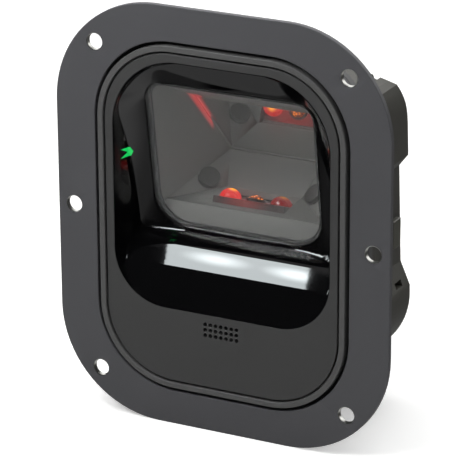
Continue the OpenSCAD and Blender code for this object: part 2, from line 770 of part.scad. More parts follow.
// Threaded barrel of the imaging lens
lens_t = 1.2;
barrel_foot = -well_depth + 1.2;
module lens_barrel() {
    color("#101010") in_engine() difference() {
        translate([0, 0, barrel_foot]) cylinder(d = barrel_d, h = engine_top - barrel_foot + 0.3);
        translate([0, 0, barrel_foot - over]) cylinder(d = barrel_d - 2.4, h = well_depth + 2 * over);
        translate([0, 0, engine_top - lens_t]) cylinder(d = barrel_d - 1.4, h = lens_t + over);
    }
}

// Glass of the imaging lens: a disc with a domed front
module dome(d, h, rise) {
    r = (d * d / 4 + rise * rise) / (2 * rise);
    cylinder(d = d, h = h);
    intersection() {
        translate([0, 0, h + rise - r]) sphere(r = r);
        cylinder(d = d, h = h + rise);
    }
}
module scan_lens() {
    color("#7a3a20") in_engine() translate([0, 0, engine_top - lens_t])
        dome(barrel_d - 1.4 - 2 * pilot_gap, lens_t - 0.2, 0.5);
}

// Red illumination lenses
module led_lens() {
    color("#c01810") in_engine() translate([led_x, 0, engine_top - led_seat])
        dome(led_lens_d, led_seat, 1.6);
}
module led_lens_left() mirror([1, 0, 0]) led_lens();
module led_lens_right() led_lens();

// Screws that hold the engine under the well
module engine_screws() {
    color("#b8b8ba") in_engine() for (sx = [-1, 1]) translate([sx * engine_boss_x, 0, 0]) {
        translate([0, 0, engine_bottom - screw_head_h]) cylinder(r = screw_head_r, h = screw_head_h);
        translate([0, 0, engine_bottom - over / 2])
            cylinder(r = shank_r, h = engine_base_t + 3 + over / 2);
    }
}

// Flat cable from the engine board to the main board: a thin strip along a bent line in Y and Z
flex_w = 10;
flex_t = 0.3;
socket_z = -head_z + 22.4;
board_top = socket_z + board_h / 2 + 7;
plug_h = 4;
plug_t = 2;
plug_z = board_top - 6;
module engine_flex() {
    start = let (back = engine_d / 2 - 1.5, down = engine_bottom - board_t)
        engine_mid + [back * cos(engine_lean) + down * sin(engine_lean),
                      down * cos(engine_lean) - back * sin(engine_lean)];
    bend = [start[0], plug_z];
    finish = [board_y - plug_t, plug_z];
    color("#b56a2a") translate([-flex_w / 2, 0, 0]) rotate([90, 0, 90]) linear_extrude(flex_w)
        polygon([start - [flex_t / 2, air_gap], start + [flex_t / 2, -air_gap / 2],
                 bend + [flex_t / 2, flex_t / 2], finish + [0, flex_t / 2],
                 finish - [0, flex_t / 2], bend - [flex_t / 2, flex_t / 2]]);
}

// Fine cloth behind the grille
mesh_t = 0.3;
module speaker_mesh() {
    color("#0e0e0e") translate([-speaker_w / 2, cover_back_y, grille_z - speaker_h / 2])
        cube([speaker_w, mesh_t, speaker_h]);
}

// Foam frame round the speaker's front
gasket_t = 1;
module speaker_gasket() {
    color("#1c1c1c") translate([0, 0, grille_z]) slab(cover_back_y + mesh_t, cover_back_y + mesh_t + gasket_t)
        difference() {
            square([speaker_w, speaker_h], center = true);
            square([speaker_w - 2.4, speaker_h - 2], center = true);
        }
}

// Flat speaker
speaker_y = cover_back_y + mesh_t + gasket_t;
module speaker() {
    color("#6b6e70") translate([-speaker_w / 2, speaker_y, grille_z - speaker_h / 2])
        cube([speaker_w, speaker_d, speaker_h]);
}

// Main circuit board with its four screw holes
standoff_x = board_w / 2 - 4;
standoff_top = board_top - 10;
standoff_bottom = board_top - board_h + 4;
module main_board() {
    color("#1f5a35") difference() {
        translate([-board_w / 2, board_y, board_top - board_h]) cube([board_w, board_t, board_h]);
        for (sx = [-1, 1], z = [standoff_top, standoff_bottom])
            post(sx * standoff_x, z, shank_r + fit_gap, board_y - over, board_y + board_t + over);
    }
}

// Processor in its square package
chip_w = 14;
chip_t = 1.2;
module processor() {
    color("#222326") translate([-board_w / 4 - chip_w / 2, board_y - chip_t, socket_z - 2])
        cube([chip_w, chip_t, chip_w]);
}

// Tinned shield over the radio and power parts
can = [20, 3, 16];
module shield_can() {
    color("#a9adb0") translate([board_w / 4 - can[0] / 2, board_y - can[1], socket_z - can[2] / 2]) cube(can);
}

// Sockets on the board for the flat cable and the speaker
plug_edge = 1.5;
speaker_plug = [6, 14];
module board_connectors() {
    color("#d8d4c4") translate([0, board_y - plug_t, plug_z - plug_h / 2]) {
        translate([-flex_w / 2 - plug_edge, 0, 0]) cube([flex_w + 2 * plug_edge, plug_t, plug_h]);
        translate([-flex_w - speaker_plug[1], 0, 0]) cube([speaker_plug[0], plug_t, plug_h]);
    }
}

// Screws that hold the board to the housing's standoffs
module board_screws() {
    color("#b8b8ba") for (sx = [-1, 1], z = [standoff_top, standoff_bottom]) {
        post(sx * standoff_x, z, screw_head_r, board_y - screw_head_h, board_y);
        post(sx * standoff_x, z, shank_r, board_y - over / 2, board_y + board_t + 4);
    }
}

// Modular cable socket, open to the rear
function rear_at(z) = rear_y - z * tan(rear_lean);
socket_end = rear_at(socket_z) - 0.8;
socket_side = 2.1;
socket_floor = 1.6;
key_t = 1.6;
plug_w = socket_w - 2 * socket_side;
plug_hole_h = socket_h - 5;
module cable_socket() {
    color("#17181a") translate([0, board_y + board_t, socket_z]) difference() {
        translate([-socket_w / 2, 0, -socket_h / 2])
            cube([socket_w, socket_end - board_y - board_t, socket_h]);
        translate([-plug_w / 2, socket_floor, -plug_hole_h / 2]) cube([plug_w, rear_y, plug_hole_h]);
        translate([-plug_w / 4, 3 * socket_floor, -plug_hole_h / 2 - key_t])
            cube([plug_w / 2, rear_y, key_t + over]);
    }
}

// Rubber ring between bezel and rear housing
seal_ring_t = 0.8;
module housing_seal() {
    inset = 0.4;
    color("#1a1a1a") slab(bezel_y, bezel_y + seal_ring_t) difference() {
        rounded(head_shape(-inset));
        rounded(head_shape(inset - housing_wall));
    }
}

// Solid form of the rear housing with its walls moved in by g, from y0 to the rear wall
joint_y = bezel_y + seal_ring_t;
rim_plate_t = 3;
module housing_form(g, y0) {
    intersection() {
        slab(y0, rear_y + head_z) intersection() {
            rounded(head_shape(-g));
            translate([0, crown_h - crown_r]) circle(r = crown_r - g, $fn = 180);
        }
        translate([-head_w, 0, 0]) rotate([90, 0, 90]) linear_extrude(2 * head_w)
            translate([rear_y, 0]) rotate(rear_lean) side_view(g);
    }
}
// Side view: first axis towards the rear, second up, with the rear edge on the second axis
side_top = head_z + 2.8;
module side_view(g) {
    top_r = rear_top_r - g;
    bottom_r = rear_bottom_r - g;
    z_top = side_top - g;
    z_bottom = -head_z + g;
    translate([-2 * rear_y, z_bottom]) square([2 * rear_y - g - top_r, z_top - z_bottom]);
    translate([-2 * rear_y, z_bottom]) square([2 * rear_y - g - bottom_r, bottom_r + top_r]);
    translate([-2 * rear_y, z_bottom + bottom_r])
        square([2 * rear_y - g, z_top - top_r - z_bottom - bottom_r]);
    translate([-g - top_r, z_top - top_r]) circle(r = top_r, $fn = 120);
    translate([-g - bottom_r, z_bottom + bottom_r]) circle(r = bottom_r);
}

// Cuts at the right side: the waist between the ears, and a slot in each ear
waist_x = head_x - waist_depth;
waist_y = ear_y(ear_z[1]) + ear_t + screw_head_h + air_gap + housing_wall;
waist_top_run = 4.5;
waist_bottom_run = 10;
ear_slot = [5, 2.2];
crown_slot = [2.4, 5.5, 9];
module side_cuts() {
    slab(waist_y, 2 * rear_y) polygon([
        [waist_x, waist_top],
        [waist_x, -waist_bottom],
        [head_x + over, -waist_bottom - waist_bottom_run - over],
        [head_x + over, waist_top + waist_top_run + over]
    ]);
    translate([waist_x - over, rear_y - 8, -waist_bottom - waist_bottom_run / 2 - ear_slot[1]])
        cube([waist_depth + over, ear_slot[0], ear_slot[1]]);
    translate([head_x - 9.8, rear_y - 2 * crown_slot[1], crown_h - crown_slot[2]]) cube(crown_slot);
}

// Rear shell with ears, waist, slots, screw towers and board standoffs
tower_foot = 4;
module rear_housing() {
    liner_x = head_x - housing_wall - waist_depth;
    liner_bottom = waist_bottom + waist_bottom_run + housing_wall;
    liner_top = waist_top + waist_top_run + housing_wall;
    color("#2e2e2c") difference() {
        union() {
            difference() {
                union() {
                    slab(joint_y, joint_y + rim_plate_t) rounded(head_shape(0));
                    housing_form(0, joint_y);
                }
                housing_form(housing_wall + waist_depth, joint_y - over);
                difference() {
                    housing_form(housing_wall, joint_y - over);
                    for (sx = [0, 1]) mirror([sx, 0, 0])
                        translate([liner_x, waist_y - housing_wall, -liner_bottom])
                            cube([head_x, 2 * rear_y, liner_bottom + liner_top]);
                }
                for (side = [0, 1]) mirror([side, 0, 0]) side_cuts();
            }
            intersection() {
                union() {
                    for (sx = [-1, 1], sz = [-1, 1])
                        post(sx * tower_x, sz * tower_z, boss_r, joint_y, 2 * rear_y);
                    for (sx = [-1, 1], z = [standoff_top, standoff_bottom])
                        post(sx * standoff_x, z, boss_r - over / 2, board_y + board_t, 2 * rear_y);
                }
                housing_form(over / 2, joint_y);
            }
        }
        for (sx = [-1, 1]) {
            for (sz = [-1, 1]) {
                post(sx * tower_x, sz * tower_z, shank_r + fit_gap, joint_y - over, 2 * rear_y);
                post(sx * tower_x, sz * tower_z, screw_head_r + fit_gap, joint_y + tower_foot, 2 * rear_y);
            }
            for (z = [standoff_top, standoff_bottom])
                post(sx * standoff_x, z, pilot_r + pilot_gap, board_y, board_y + board_t + 5);
        }
        translate([-socket_w / 2 - air_gap, board_y + board_t, socket_z - socket_h / 2 - air_gap])
            cube([socket_w + 2 * air_gap, 2 * rear_y, socket_h + 2 * air_gap]);
    }
}

// Long screws from the rear into the bezel
module rear_screws() {
    color("#8c8e90") for (sx = [-1, 1], sz = [-1, 1])
        rear_screw(sx * tower_x, sz * tower_z, joint_y + tower_foot,
                   tower_foot + seal_ring_t + pilot_depth - over);
}

// Tab in the waist
latch = [1.9, 6, 10];
module side_latch() {
    color("#4c4b44") translate([waist_x, rear_y - 1.5 * latch[1], -waist_bottom + 7.5]) cube(latch);
}
module side_latch_left() mirror([1, 0, 0]) side_latch();
module side_latch_right() side_latch();

mounting_flange();
flange_gasket();
flange_screws();
front_bezel();
face_cover();
visor();
pointer_light_left();
pointer_light_right();
pointer_board_left();
pointer_board_right();
scan_window();
window_seal();
light_chamber();
chamber_screws();
port_cap_left();
port_cap_right();
fold_mirror();
mirror_bracket();
engine_chassis();
engine_board();
image_sensor();
lens_barrel();
scan_lens();
led_lens_left();
led_lens_right();
engine_screws();
engine_flex();
speaker_mesh();
speaker_gasket();
speaker();
main_board();
processor();
shield_can();
board_connectors();
board_screws();
cable_socket();
housing_seal();
rear_housing();
rear_screws();
side_latch_left();
side_latch_right();
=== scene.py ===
"""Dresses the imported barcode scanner: detailed pieces, finishes, studio and camera."""
import math
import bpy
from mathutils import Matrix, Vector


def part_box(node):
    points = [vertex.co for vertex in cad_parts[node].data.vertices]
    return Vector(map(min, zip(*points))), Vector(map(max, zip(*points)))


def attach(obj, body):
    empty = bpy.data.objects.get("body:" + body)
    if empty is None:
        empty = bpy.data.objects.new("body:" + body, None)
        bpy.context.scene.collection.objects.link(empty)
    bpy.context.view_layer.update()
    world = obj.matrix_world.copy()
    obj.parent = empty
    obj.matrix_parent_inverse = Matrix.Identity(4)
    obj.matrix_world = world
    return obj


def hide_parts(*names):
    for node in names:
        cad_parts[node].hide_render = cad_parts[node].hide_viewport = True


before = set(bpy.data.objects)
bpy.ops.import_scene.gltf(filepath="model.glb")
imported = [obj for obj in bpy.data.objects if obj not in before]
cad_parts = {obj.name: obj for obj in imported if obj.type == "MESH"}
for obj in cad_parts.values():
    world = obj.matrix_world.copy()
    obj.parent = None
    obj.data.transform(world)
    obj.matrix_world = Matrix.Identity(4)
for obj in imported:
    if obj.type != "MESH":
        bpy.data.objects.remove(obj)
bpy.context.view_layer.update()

from types import SimpleNamespace

import bmesh
import bpy
import numpy as np
from bpy.props import FloatProperty, FloatVectorProperty, IntProperty, PointerProperty
from mathutils import Matrix, Vector

bl_info = {
    "name": "Panel Mounted Barcode Scanner",
    "version": (1, 0, 0),
    "blender": (4, 5, 0),
    "location": "3D View > Sidebar > Scanner",
    "description": "Dresses the packed scanner with detailed pieces, finishes and a studio",
    "category": "Object",
}

MM = 0.001
FLANGE_LO, FLANGE_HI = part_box("mounting_flange")
COVER_LO, COVER_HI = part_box("face_cover")
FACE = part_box("front_bezel")[0].y

# In a profile between two outlines, distances from the inner one are counted from here
SPAN = 100 * MM
# Points closer than this are merged
MERGE = 0.001 * MM
# Angles in degrees above which an edge stays sharp: on new pieces, the visor and CAD copies
SHARP, VISOR_SHARP, NODE_SHARP = 32, 40, 28
# Faces of a CAD copy that differ by less than this many degrees become one flat
FLAT = 0.6
# Rounding where the visor's surfaces join, and the least room from its sides to the window
WALL_ROUND, SIDE_ROUND, NOSE_ROUND = 0.25 * MM, 1 * MM, 5 * MM
SIDE_ROOM = 2.2 * MM

# The camera, as solved from the photograph: angles in degrees, then metres, then the lens in mm
VIEW_RIGHT, VIEW_UP, VIEW_ROLL = 26.95, 20.42, -0.29
VIEW_AIM, VIEW_AWAY = Vector((0.00335, -0.002, 0.00024)), 0.9849
LENS, SENSOR = 235.6, 36.0

# Lamps: name, place, width of the square and power in watts
LAMPS = (("key", (-0.12, -0.22, 0.3), 0.2, 1.2), ("top", (0.1, 0.15, 1.1), 0.9, 10.5))
# The room that gloss sees: ramps along an axis of the direction, from start to end and low to high
ROOM = (
    # Below: grey, and lighter to the right
    (("Z", -0.4, -0.75, 0.0, 1.0), ("X", -0.5, 0.6, 0.33, 0.8)),
    # Above: dim, and dark to the front
    (("Z", 0.4, 0.8, 0.0, 1.0), ("Y", -0.45, -0.15, 0.0, 0.36)),
    # Behind: white, from the horizon to halfway up
    (("Y", 0.1, 0.6, 0.0, 1.8), ("Z", 0.85, 0.6, 0.0, 1.0), ("Z", -0.05, 0.35, 0.0, 1.0)),
)
ROOM_DARK, ROOM_FILL = 0.03, 0.2
# Soft panel in front: its distance, its sides in X, and the nose's slopes in degrees that see it
PANEL_AWAY, PANEL_SIDES, PANEL_SLOPES = 0.7, (-22.5 * MM, 29.6 * MM), (31, 49.8)
# The nose's middle behind the cover and above the visor's lower edge, as the panel sees it
PANEL_DEEP, PANEL_UP = 5.5 * MM, 16.5 * MM
# The panel's strength, and its two brighter spots: middle in its UV map and added strength
PANEL_EVEN, PANEL_SPOTS = 12.0, (((0.36, 0.6, 0), 12.0), ((0.93, 0.55, 0), 14.0))
# Edges of the painted wedge of red light on the funnel's wall, which stands for the engine's light
# falling there: a point, the way in and the soft width, in mm
PAINTED_RED_LIGHT_EDGES = (((0, 19.2, 39.5), (0, 0.81, 0.586), 1.5),
         ((-19.9, 0, 0), (-1, 0, 0), 0.5),
         ((0, 0, 19.6), (0, 0, 1), 2.0),
         ((-20.6, 33.35, 20.2), (0.92, -0.4, -0.06), 0.3))
# Strength of the painted red light on the funnel's wall
PAINTED_RED_LIGHT_STRENGTH = 0.62


def linear(code):
    """Linear colour of an sRGB hex value, by the two-part curve of the sRGB standard."""
    part = np.array([code >> 16 & 255, code >> 8 & 255, code & 255]) / 255
    flat = np.where(part <= 0.04045, part / 12.92, ((part + 0.055) / 1.055) ** 2.4)
    return tuple(float(v) for v in flat)


def length(name, description, millimetres):
    """A length property, stored in metres."""
    return FloatProperty(name=name, description=description, default=millimetres * MM, unit="LENGTH",
                         precision=5)


def angle(name, description, degrees):
    """An angle property, stored in radians."""
    return FloatProperty(name=name, description=description, default=math.radians(degrees),
                         unit="ROTATION")


def colour(name, description, code):
    """A colour property with a linear default from an sRGB hex value."""
    return FloatVectorProperty(name=name, description=description, default=linear(code), size=3,
                               subtype="COLOR", min=0, max=1)


class ScannerSizes(bpy.types.PropertyGroup):
    """Sizes of the pieces that are rebuilt in detail.

    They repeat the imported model's, except that the pointer arrows are smaller and fuller.
    """

    flange_corner: length("Flange corner", "Corner radius of the flange", 37)
    flange_gap: length("Flange gap", "Gap between the head and the flange", 1.25)
    collar_wall: length("Collar wall", "Wall of the collar behind the flange", 2)
    hole: length("Screw hole", "Diameter of the mounting holes", 5.5)
    corner_hole_x: length("Corner hole in", "Corner hole to the side edge of the flange", 15)
    corner_hole_z: length("Corner hole up", "Corner hole to the end edge of the flange", 15.5)
    side_hole_x: length("Side hole in", "Side hole to the side edge of the flange", 6)
    edge: length("Edge", "Rounding of the moulded and stamped edges", 0.35)
    head_corner: length("Head corner", "Corner radius of the head", 27.5)
    rim: length("Rim", "Width of the raised rim", 2)
    groove: length("Groove", "Parting groove inside the rim", 0.7)
    ledge: length("Ledge", "Width of the ledge behind the cover", 2.4)
    ledge_t: length("Ledge thickness", "Thickness of the ledge behind the cover", 1.6)
    bezel_back: length("Bezel back", "Rear face of the bezel behind the flange", 12)
    lug_x: length("Lug in X", "Middle of a screw lug from the middle plane", 50.25)
    lug_z: length("Lug in Z", "Middle of a screw lug above the middle", 20)
    boss: length("Boss", "Radius of a screw boss", 3.4)
    visor_border: length("Visor border", "Matt border round the visor", 3)
    chin: length("Chin", "Height of the matt chin under the visor", 26.1)
    visor_top_r: length("Visor top corner", "Top corner radius of the visor", 24)
    visor_bottom_r: length("Visor bottom corner", "Bottom corner radius of the visor", 18.5)
    visor_land: length("Visor land", "Rounded lip before the steep wall", 0.2)
    visor_wall: length("Visor wall", "Wall thickness of the visor", 1.2)
    visor_draft: FloatProperty(
        name="Visor draft", description="Run of the steep wall for each unit of depth", default=0.24)
    facet_fall: FloatProperty(
        name="Facet fall", description="Growth of the steep wall's depth going down", default=0.385)
    facet_ease: FloatProperty(
        name="Facet ease", description="Loss of that growth for each millimetre", default=0.0022)
    facet_top: length("Facet top", "Height at which the steep wall begins", 37.5)
    corner_lip: length("Corner lip", "Depth of the steep wall in the middle of the top corners", 1.6)
    crease: length("Crease", "Rounding of the crease between wall and facet", 0.5)
    flank: length("Flank", "Width of the flanks beside the window", 8.5)
    brow: length("Brow", "Height of the brow above the window", 9.4)
    brow_depth: length("Brow depth", "Depth of the window's top edge", 5.9)
    nose: length("Nose", "Height of the rounded nose", 23.4)
    nose_turn: angle("Nose turn", "Turn of the nose's arc up to the window", 68)
    tilt: angle("Window tilt", "Tilt of the window, top edge forward", 8.75)
    pane_t: length("Pane", "Thickness of the pane", 1.5)
    pane_ledge: length("Pane ledge", "Width of the ledge behind the pane", 1.2)
    pane_top_r: length("Pane top corner", "Top corner radius of the pane", 7)
    pane_bottom_r: length("Pane bottom corner", "Bottom corner radius of the pane", 12)
    lip: length("Visor lip", "Rounding of the visor's edge at the window", 0.4)
    fit: length("Fit", "Gap round set-in pieces", 0.15)
    arrow_l: length("Arrow length", "Length of a pointer arrow", 2.2)
    arrow_h: length("Arrow height", "Height of a pointer arrow", 3.2)
    arrow_stroke: length("Arrow stroke", "Width of the arrow's arms", 1.4)
    arrow_x: length("Arrow in X", "Middle of a pointer arrow from the middle plane", 37.5)
    arrow_z: length("Arrow in Z", "Middle of a pointer arrow above the middle", 19)
    grille_cols: IntProperty(name="Grille columns", description="Columns of grille holes", default=7)
    grille_rows: IntProperty(name="Grille rows", description="Rows of grille holes", default=3)
    grille_pitch: length("Grille pitch", "Pitch of the grille holes", 1.94)
    grille_hole: length("Grille hole", "Diameter of a grille hole", 1.35)
    grille_drop: length("Grille drop", "Middle of the grille below the visor", 5.5)
    engine_y: length("Engine in Y", "Middle of the engine behind the flange", 25.0)
    engine_z: length("Engine in Z", "Middle of the engine above the middle", 1.56)
    engine_lean: angle("Engine lean", "Lean of the engine to the rear", 21)
    engine_top: length("Engine top", "Engine's face below the chamber floor", 0.6)
    led_x: length("LED in X", "Middle of an illumination lens from the middle plane", 9.5)
    led: length("LED lens", "Diameter of an illumination lens", 6.6)
    led_seat: length("LED seat", "Depth of an illumination lens in the engine", 2.4)
    barrel: length("Barrel", "Diameter of the lens barrel", 6.8)


class ScannerColours(bpy.types.PropertyGroup):
    """Base colours of the finishes that a user is likely to change."""

    flange: colour("Flange", "Powder coat of the flange", 0x4B4B4E)
    bezel: colour("Bezel", "Moulded rim of the head", 0x505050)
    cover: colour("Cover", "Moulded face cover", 0x3E3E3E)
    visor: colour("Visor", "High-gloss visor", 0x050506)
    housing: colour("Housing", "Moulded rear housing", 0x3C3B36)
    chamber: colour("Chamber", "Moulded light chamber", 0x6C6A67)
    pointer: colour("Pointer light", "Glow of the green pointer arrows", 0x12D460)
    # Colour of the red light painted on the engine's body near its lenses
    red: colour("Illumination", "Glow of the red illumination", 0xE8190F)


# Shapes: rings, profiles and outlines


def soft_min(a, b, width):
    """Lesser of a and b, with the corner between them rounded over a band of the given width."""
    h = np.clip(0.5 + 0.5 * (b - a) / width, 0, 1)
    return b + (a - b) * h - width * h * (1 - h)


def rounded_loops(half, top, bottom, r_top, r_bottom, corner=20, side=10):
    """Rounded rectangles in X and Z, one row for each size, clockwise from the top right corner.

    A corner is a quarter circle round its own middle, in even turns, and a straight side is
    divided evenly, so every loop has the same count of points.
    """
    sizes = [np.atleast_1d(np.asarray(v, float)) for v in (half, top, bottom, r_top, r_bottom)]
    half, top, bottom, r_top, r_bottom = np.broadcast_arrays(*sizes)
    cx = np.stack([half - r_top, half - r_bottom, r_bottom - half, r_top - half], 1)
    cz = np.stack([top - r_top, bottom + r_bottom, bottom + r_bottom, top - r_top], 1)
    r = np.stack([r_top, r_bottom, r_bottom, r_top], 1)
    turn = np.pi / 2 * (np.array([1, 0, -1, -2])[:, None] - np.linspace(0, 1, corner + 1))
    arcs = np.stack([cx[..., None] + r[..., None] * np.cos(turn),
                     cz[..., None] + r[..., None] * np.sin(turn)], -1)
    ahead = np.roll(arcs[:, :, :1], -1, axis=1)
    share = (np.arange(1, side) / side)[:, None]
    sides = arcs[:, :, -1:] + (ahead - arcs[:, :, -1:]) * share
    return np.concatenate([arcs, sides], axis=2).reshape(len(half), -1, 2)


def eased(corners, rounds, steps=5, hold=0.05 * MM):
    """Closed profile with its corners rounded.

    Each corner becomes a quadratic curve between two points at the given distance along its
    edges, and one more point just past each end keeps the flats flat.
    """
    p = np.asarray(corners, float)
    r = np.broadcast_to(np.asarray(rounds, float), len(p))[:, None, None]
    before = (np.roll(p, 1, axis=0) - p)[:, None]
    after = (np.roll(p, -1, axis=0) - p)[:, None]
    before = before / np.linalg.norm(before, axis=2, keepdims=True)
    after = after / np.linalg.norm(after, axis=2, keepdims=True)
    p, t = p[:, None], np.linspace(0, 1, steps + 1)[None, :, None]
    a, b = p + before * r, p + after * r
    curve = (1 - t) ** 2 * a + 2 * t * (1 - t) * p + t ** 2 * b
    return np.concatenate([a + before * hold, curve, b + after * hold], axis=1).reshape(-1, 2)


def swept(profile, outer, inner=None):
    """Rings of a closed profile carried round a rounded rectangle.

    A profile point is its distance in from the outer outline and its place along Y. Past half of
    SPAN the distance is counted from the inner outline, so one profile joins two outlines.
    """
    far = profile[:, 0] > SPAN / 2
    by = np.where(far, profile[:, 0] - SPAN, profile[:, 0])
    base = np.where(far, np.asarray(inner or outer)[:, None], np.asarray(outer)[:, None])
    loops = rounded_loops(base[0] - by, base[1] - by, base[2] + by, base[3] - by, base[4] - by)
    depth = np.broadcast_to(profile[:, 1:2], loops.shape[:2])
    return np.stack([loops[..., 0], depth, loops[..., 1]], -1)


def lathe(profile, turns=48):
    """Rings of a profile of (radius, height) points turned about Z in even steps."""
    p = np.asarray(profile, float)
    turn = np.linspace(0, 2 * np.pi, turns, endpoint=False)
    x, y = p[:, :1] * np.cos(turn), p[:, :1] * np.sin(turn)
    return np.stack([x, y, np.broadcast_to(p[:, 1:2], x.shape)], -1)


def dome(radius, foot, tall, steps):
    """Profile of a dome: a quarter ellipse of the radius and height above its foot, in even turns."""
    turn = np.linspace(0, 1, steps)[1:] * np.pi / 2
    return np.stack([radius * np.cos(turn), foot + tall * np.sin(turn)], 1)


def quads(count, around, loop):
    """Faces between neighbouring rings, and from the last ring to the first if loop is set."""
    k = np.arange(count if loop else count - 1)[:, None]
    i = np.arange(around)[None, :]
    a, b = k * around + i, k * around + (i + 1) % around
    c, d = (k + 1) % count * around + (i + 1) % around, (k + 1) % count * around + i
    return np.stack([a, b, c, d], -1).reshape(-1, 4)


def shell(rings, loop=False, capped=True):
    """Points and faces of the closed skin over rings: looped to the first ring, or capped."""
    count, around = rings.shape[:2]
    faces = quads(count, around, loop).tolist()
    if capped and not loop:
        faces += [list(range(around)), list(range((count - 1) * around, count * around))]
    return rings.reshape(-1, 3), faces


def placed(rings, matrix):
    """Rings moved by a matrix: every point times its rotation, plus its place."""
    m = np.array(matrix)
    return rings @ m[:3, :3].T + m[:3, 3]


def four(x, z):
    """The place (x, z) and its mirror images in both middle planes."""
    return [(side * x, end * z) for side in (-1, 1) for end in (-1, 1)]


def posts(profile, places, turns=48):
    """Closed skins of one lathed profile, its height along Y, at each place in X and Z."""
    rings = lathe(profile, turns)
    upright = Matrix.Rotation(math.radians(-90), 4, "X")
    return [shell(placed(rings, Matrix.Translation((x, 0, z)) @ upright)) for x, z in places]


# Shapes that follow from the sizes: the layout, the window and the visor


def layout(s):
    """Places that follow from the sizes: outlines, the tilted window and the scan engine."""
    at = SimpleNamespace()
    at.cover, at.cover_back = COVER_LO.y, COVER_HI.y
    inset = s.rim + s.groove
    hx, hz = COVER_HI.x + inset, COVER_HI.z + inset
    at.head = (hx, hz, -hz, s.head_corner, s.head_corner)
    at.opening = grown(at.head, s.flange_gap)
    at.plate = (FLANGE_HI.x, FLANGE_HI.z, FLANGE_LO.z, s.flange_corner, s.flange_corner)
    inner_r = s.head_corner - inset
    at.cover_edge = (COVER_HI.x, COVER_HI.z, COVER_LO.z, inner_r, inner_r)
    vx, vt = COVER_HI.x - s.visor_border, COVER_HI.z - s.visor_border
    vb = COVER_LO.z + s.chin
    at.visor = (vx, vt, vb, s.visor_top_r, s.visor_bottom_r)
    top, bottom = vt - s.brow, vb + s.nose
    pane_x, pane_z = vx - s.flank, (top - bottom) / 2 / math.cos(s.tilt)
    at.pane = (pane_x, pane_z, -pane_z, s.pane_top_r, s.pane_bottom_r)
    at.aperture = grown(at.pane, s.fit)
    at.window_z = (top + bottom) / 2
    at.window_y = at.cover + s.brow_depth + (top - at.window_z) * math.tan(s.tilt)
    at.window = Matrix.Translation((0, at.window_y, at.window_z)) @ Matrix.Rotation(s.tilt, 4, "X")
    lean = Matrix.Rotation(-s.engine_lean, 4, "X")
    at.engine = Matrix.Translation((0, s.engine_y, s.engine_z)) @ lean
    at.grille_z = vb - s.grille_drop
    return at


def grown(outline, by):
    """Rounded rectangle moved out by a distance."""
    half, top, bottom, r_top, r_bottom = outline
    return half + by, top + by, bottom - by, r_top + by, r_bottom + by


def flat_loop(outline, y):
    """Loop of a rounded rectangle in the plane at y."""
    flat = rounded_loops(*outline)
    return np.stack([flat[..., 0], np.full(flat.shape[:2], y), flat[..., 1]], -1)


def window_loop(outline, back, at):
    """Loop of a rounded rectangle in the tilted window frame, at a distance behind its face."""
    return placed(flat_loop(outline, back), at.window)


def wall_depth(run, s):
    """Depth of the visor's steep wall: nothing over the land, then run / draft, softly joined."""
    return -soft_min(0, -(run - s.visor_land) / s.visor_draft, WALL_ROUND)


def window_depth(z, at, s):
    """Depth of the tilted window plane behind the cover."""
    return at.window_y - at.cover + (at.window_z - z) * math.tan(s.tilt)


def side_floor(z, at, s):
    """Depth at which the facet would meet the visor's outline.

    It grows from facet_top down, a little less with each millimetre, and stays in front of the
    window's depth at the same height. In the top corners it rises and falls like the product
    of a square and one less that square.
    """
    drop = np.maximum(s.facet_top - z, 0)
    side = s.facet_fall * drop - s.facet_ease * drop ** 2 / MM
    way = np.clip((z - at.visor[1] + s.visor_top_r) / s.visor_top_r, 0, 1)
    top = s.corner_lip * 4 * way ** 2 * (1 - way ** 2)
    return soft_min(side + top, window_depth(z, at, s) - SIDE_ROOM, SIDE_ROUND)


def side_depth(x, z, at, s):
    """Depth of the visor's side at a point: the steep wall or the facet, whichever is nearer."""
    run = at.visor[0] - np.abs(x)
    start = side_floor(z, at, s)
    facet = start + (window_depth(z, at, s) - start) * run / (at.visor[0] - at.aperture[0])
    return soft_min(wall_depth(run, s), facet, s.crease)


def nose_depth(z, at, s):
    """Depth of the rounded nose: an ellipse's arc from the foot of the visor to the window.

    The height grows with the sine of the turn and the depth with one less its cosine, both as
    shares of their values at nose_turn. Above the nose the depth has no limit.
    """
    tall = s.nose - (s.fit + s.lip) * math.cos(s.tilt)
    share = np.clip((z - at.visor[2]) / tall, 0, 1)
    turn = np.arcsin(share * math.sin(s.nose_turn))
    full = window_depth(at.visor[2] + tall, at, s)
    deep = full * (1 - np.cos(turn)) / (1 - math.cos(s.nose_turn))
    steep = 1e3
    return deep + steep * np.maximum(z - at.visor[2] - tall, 0)


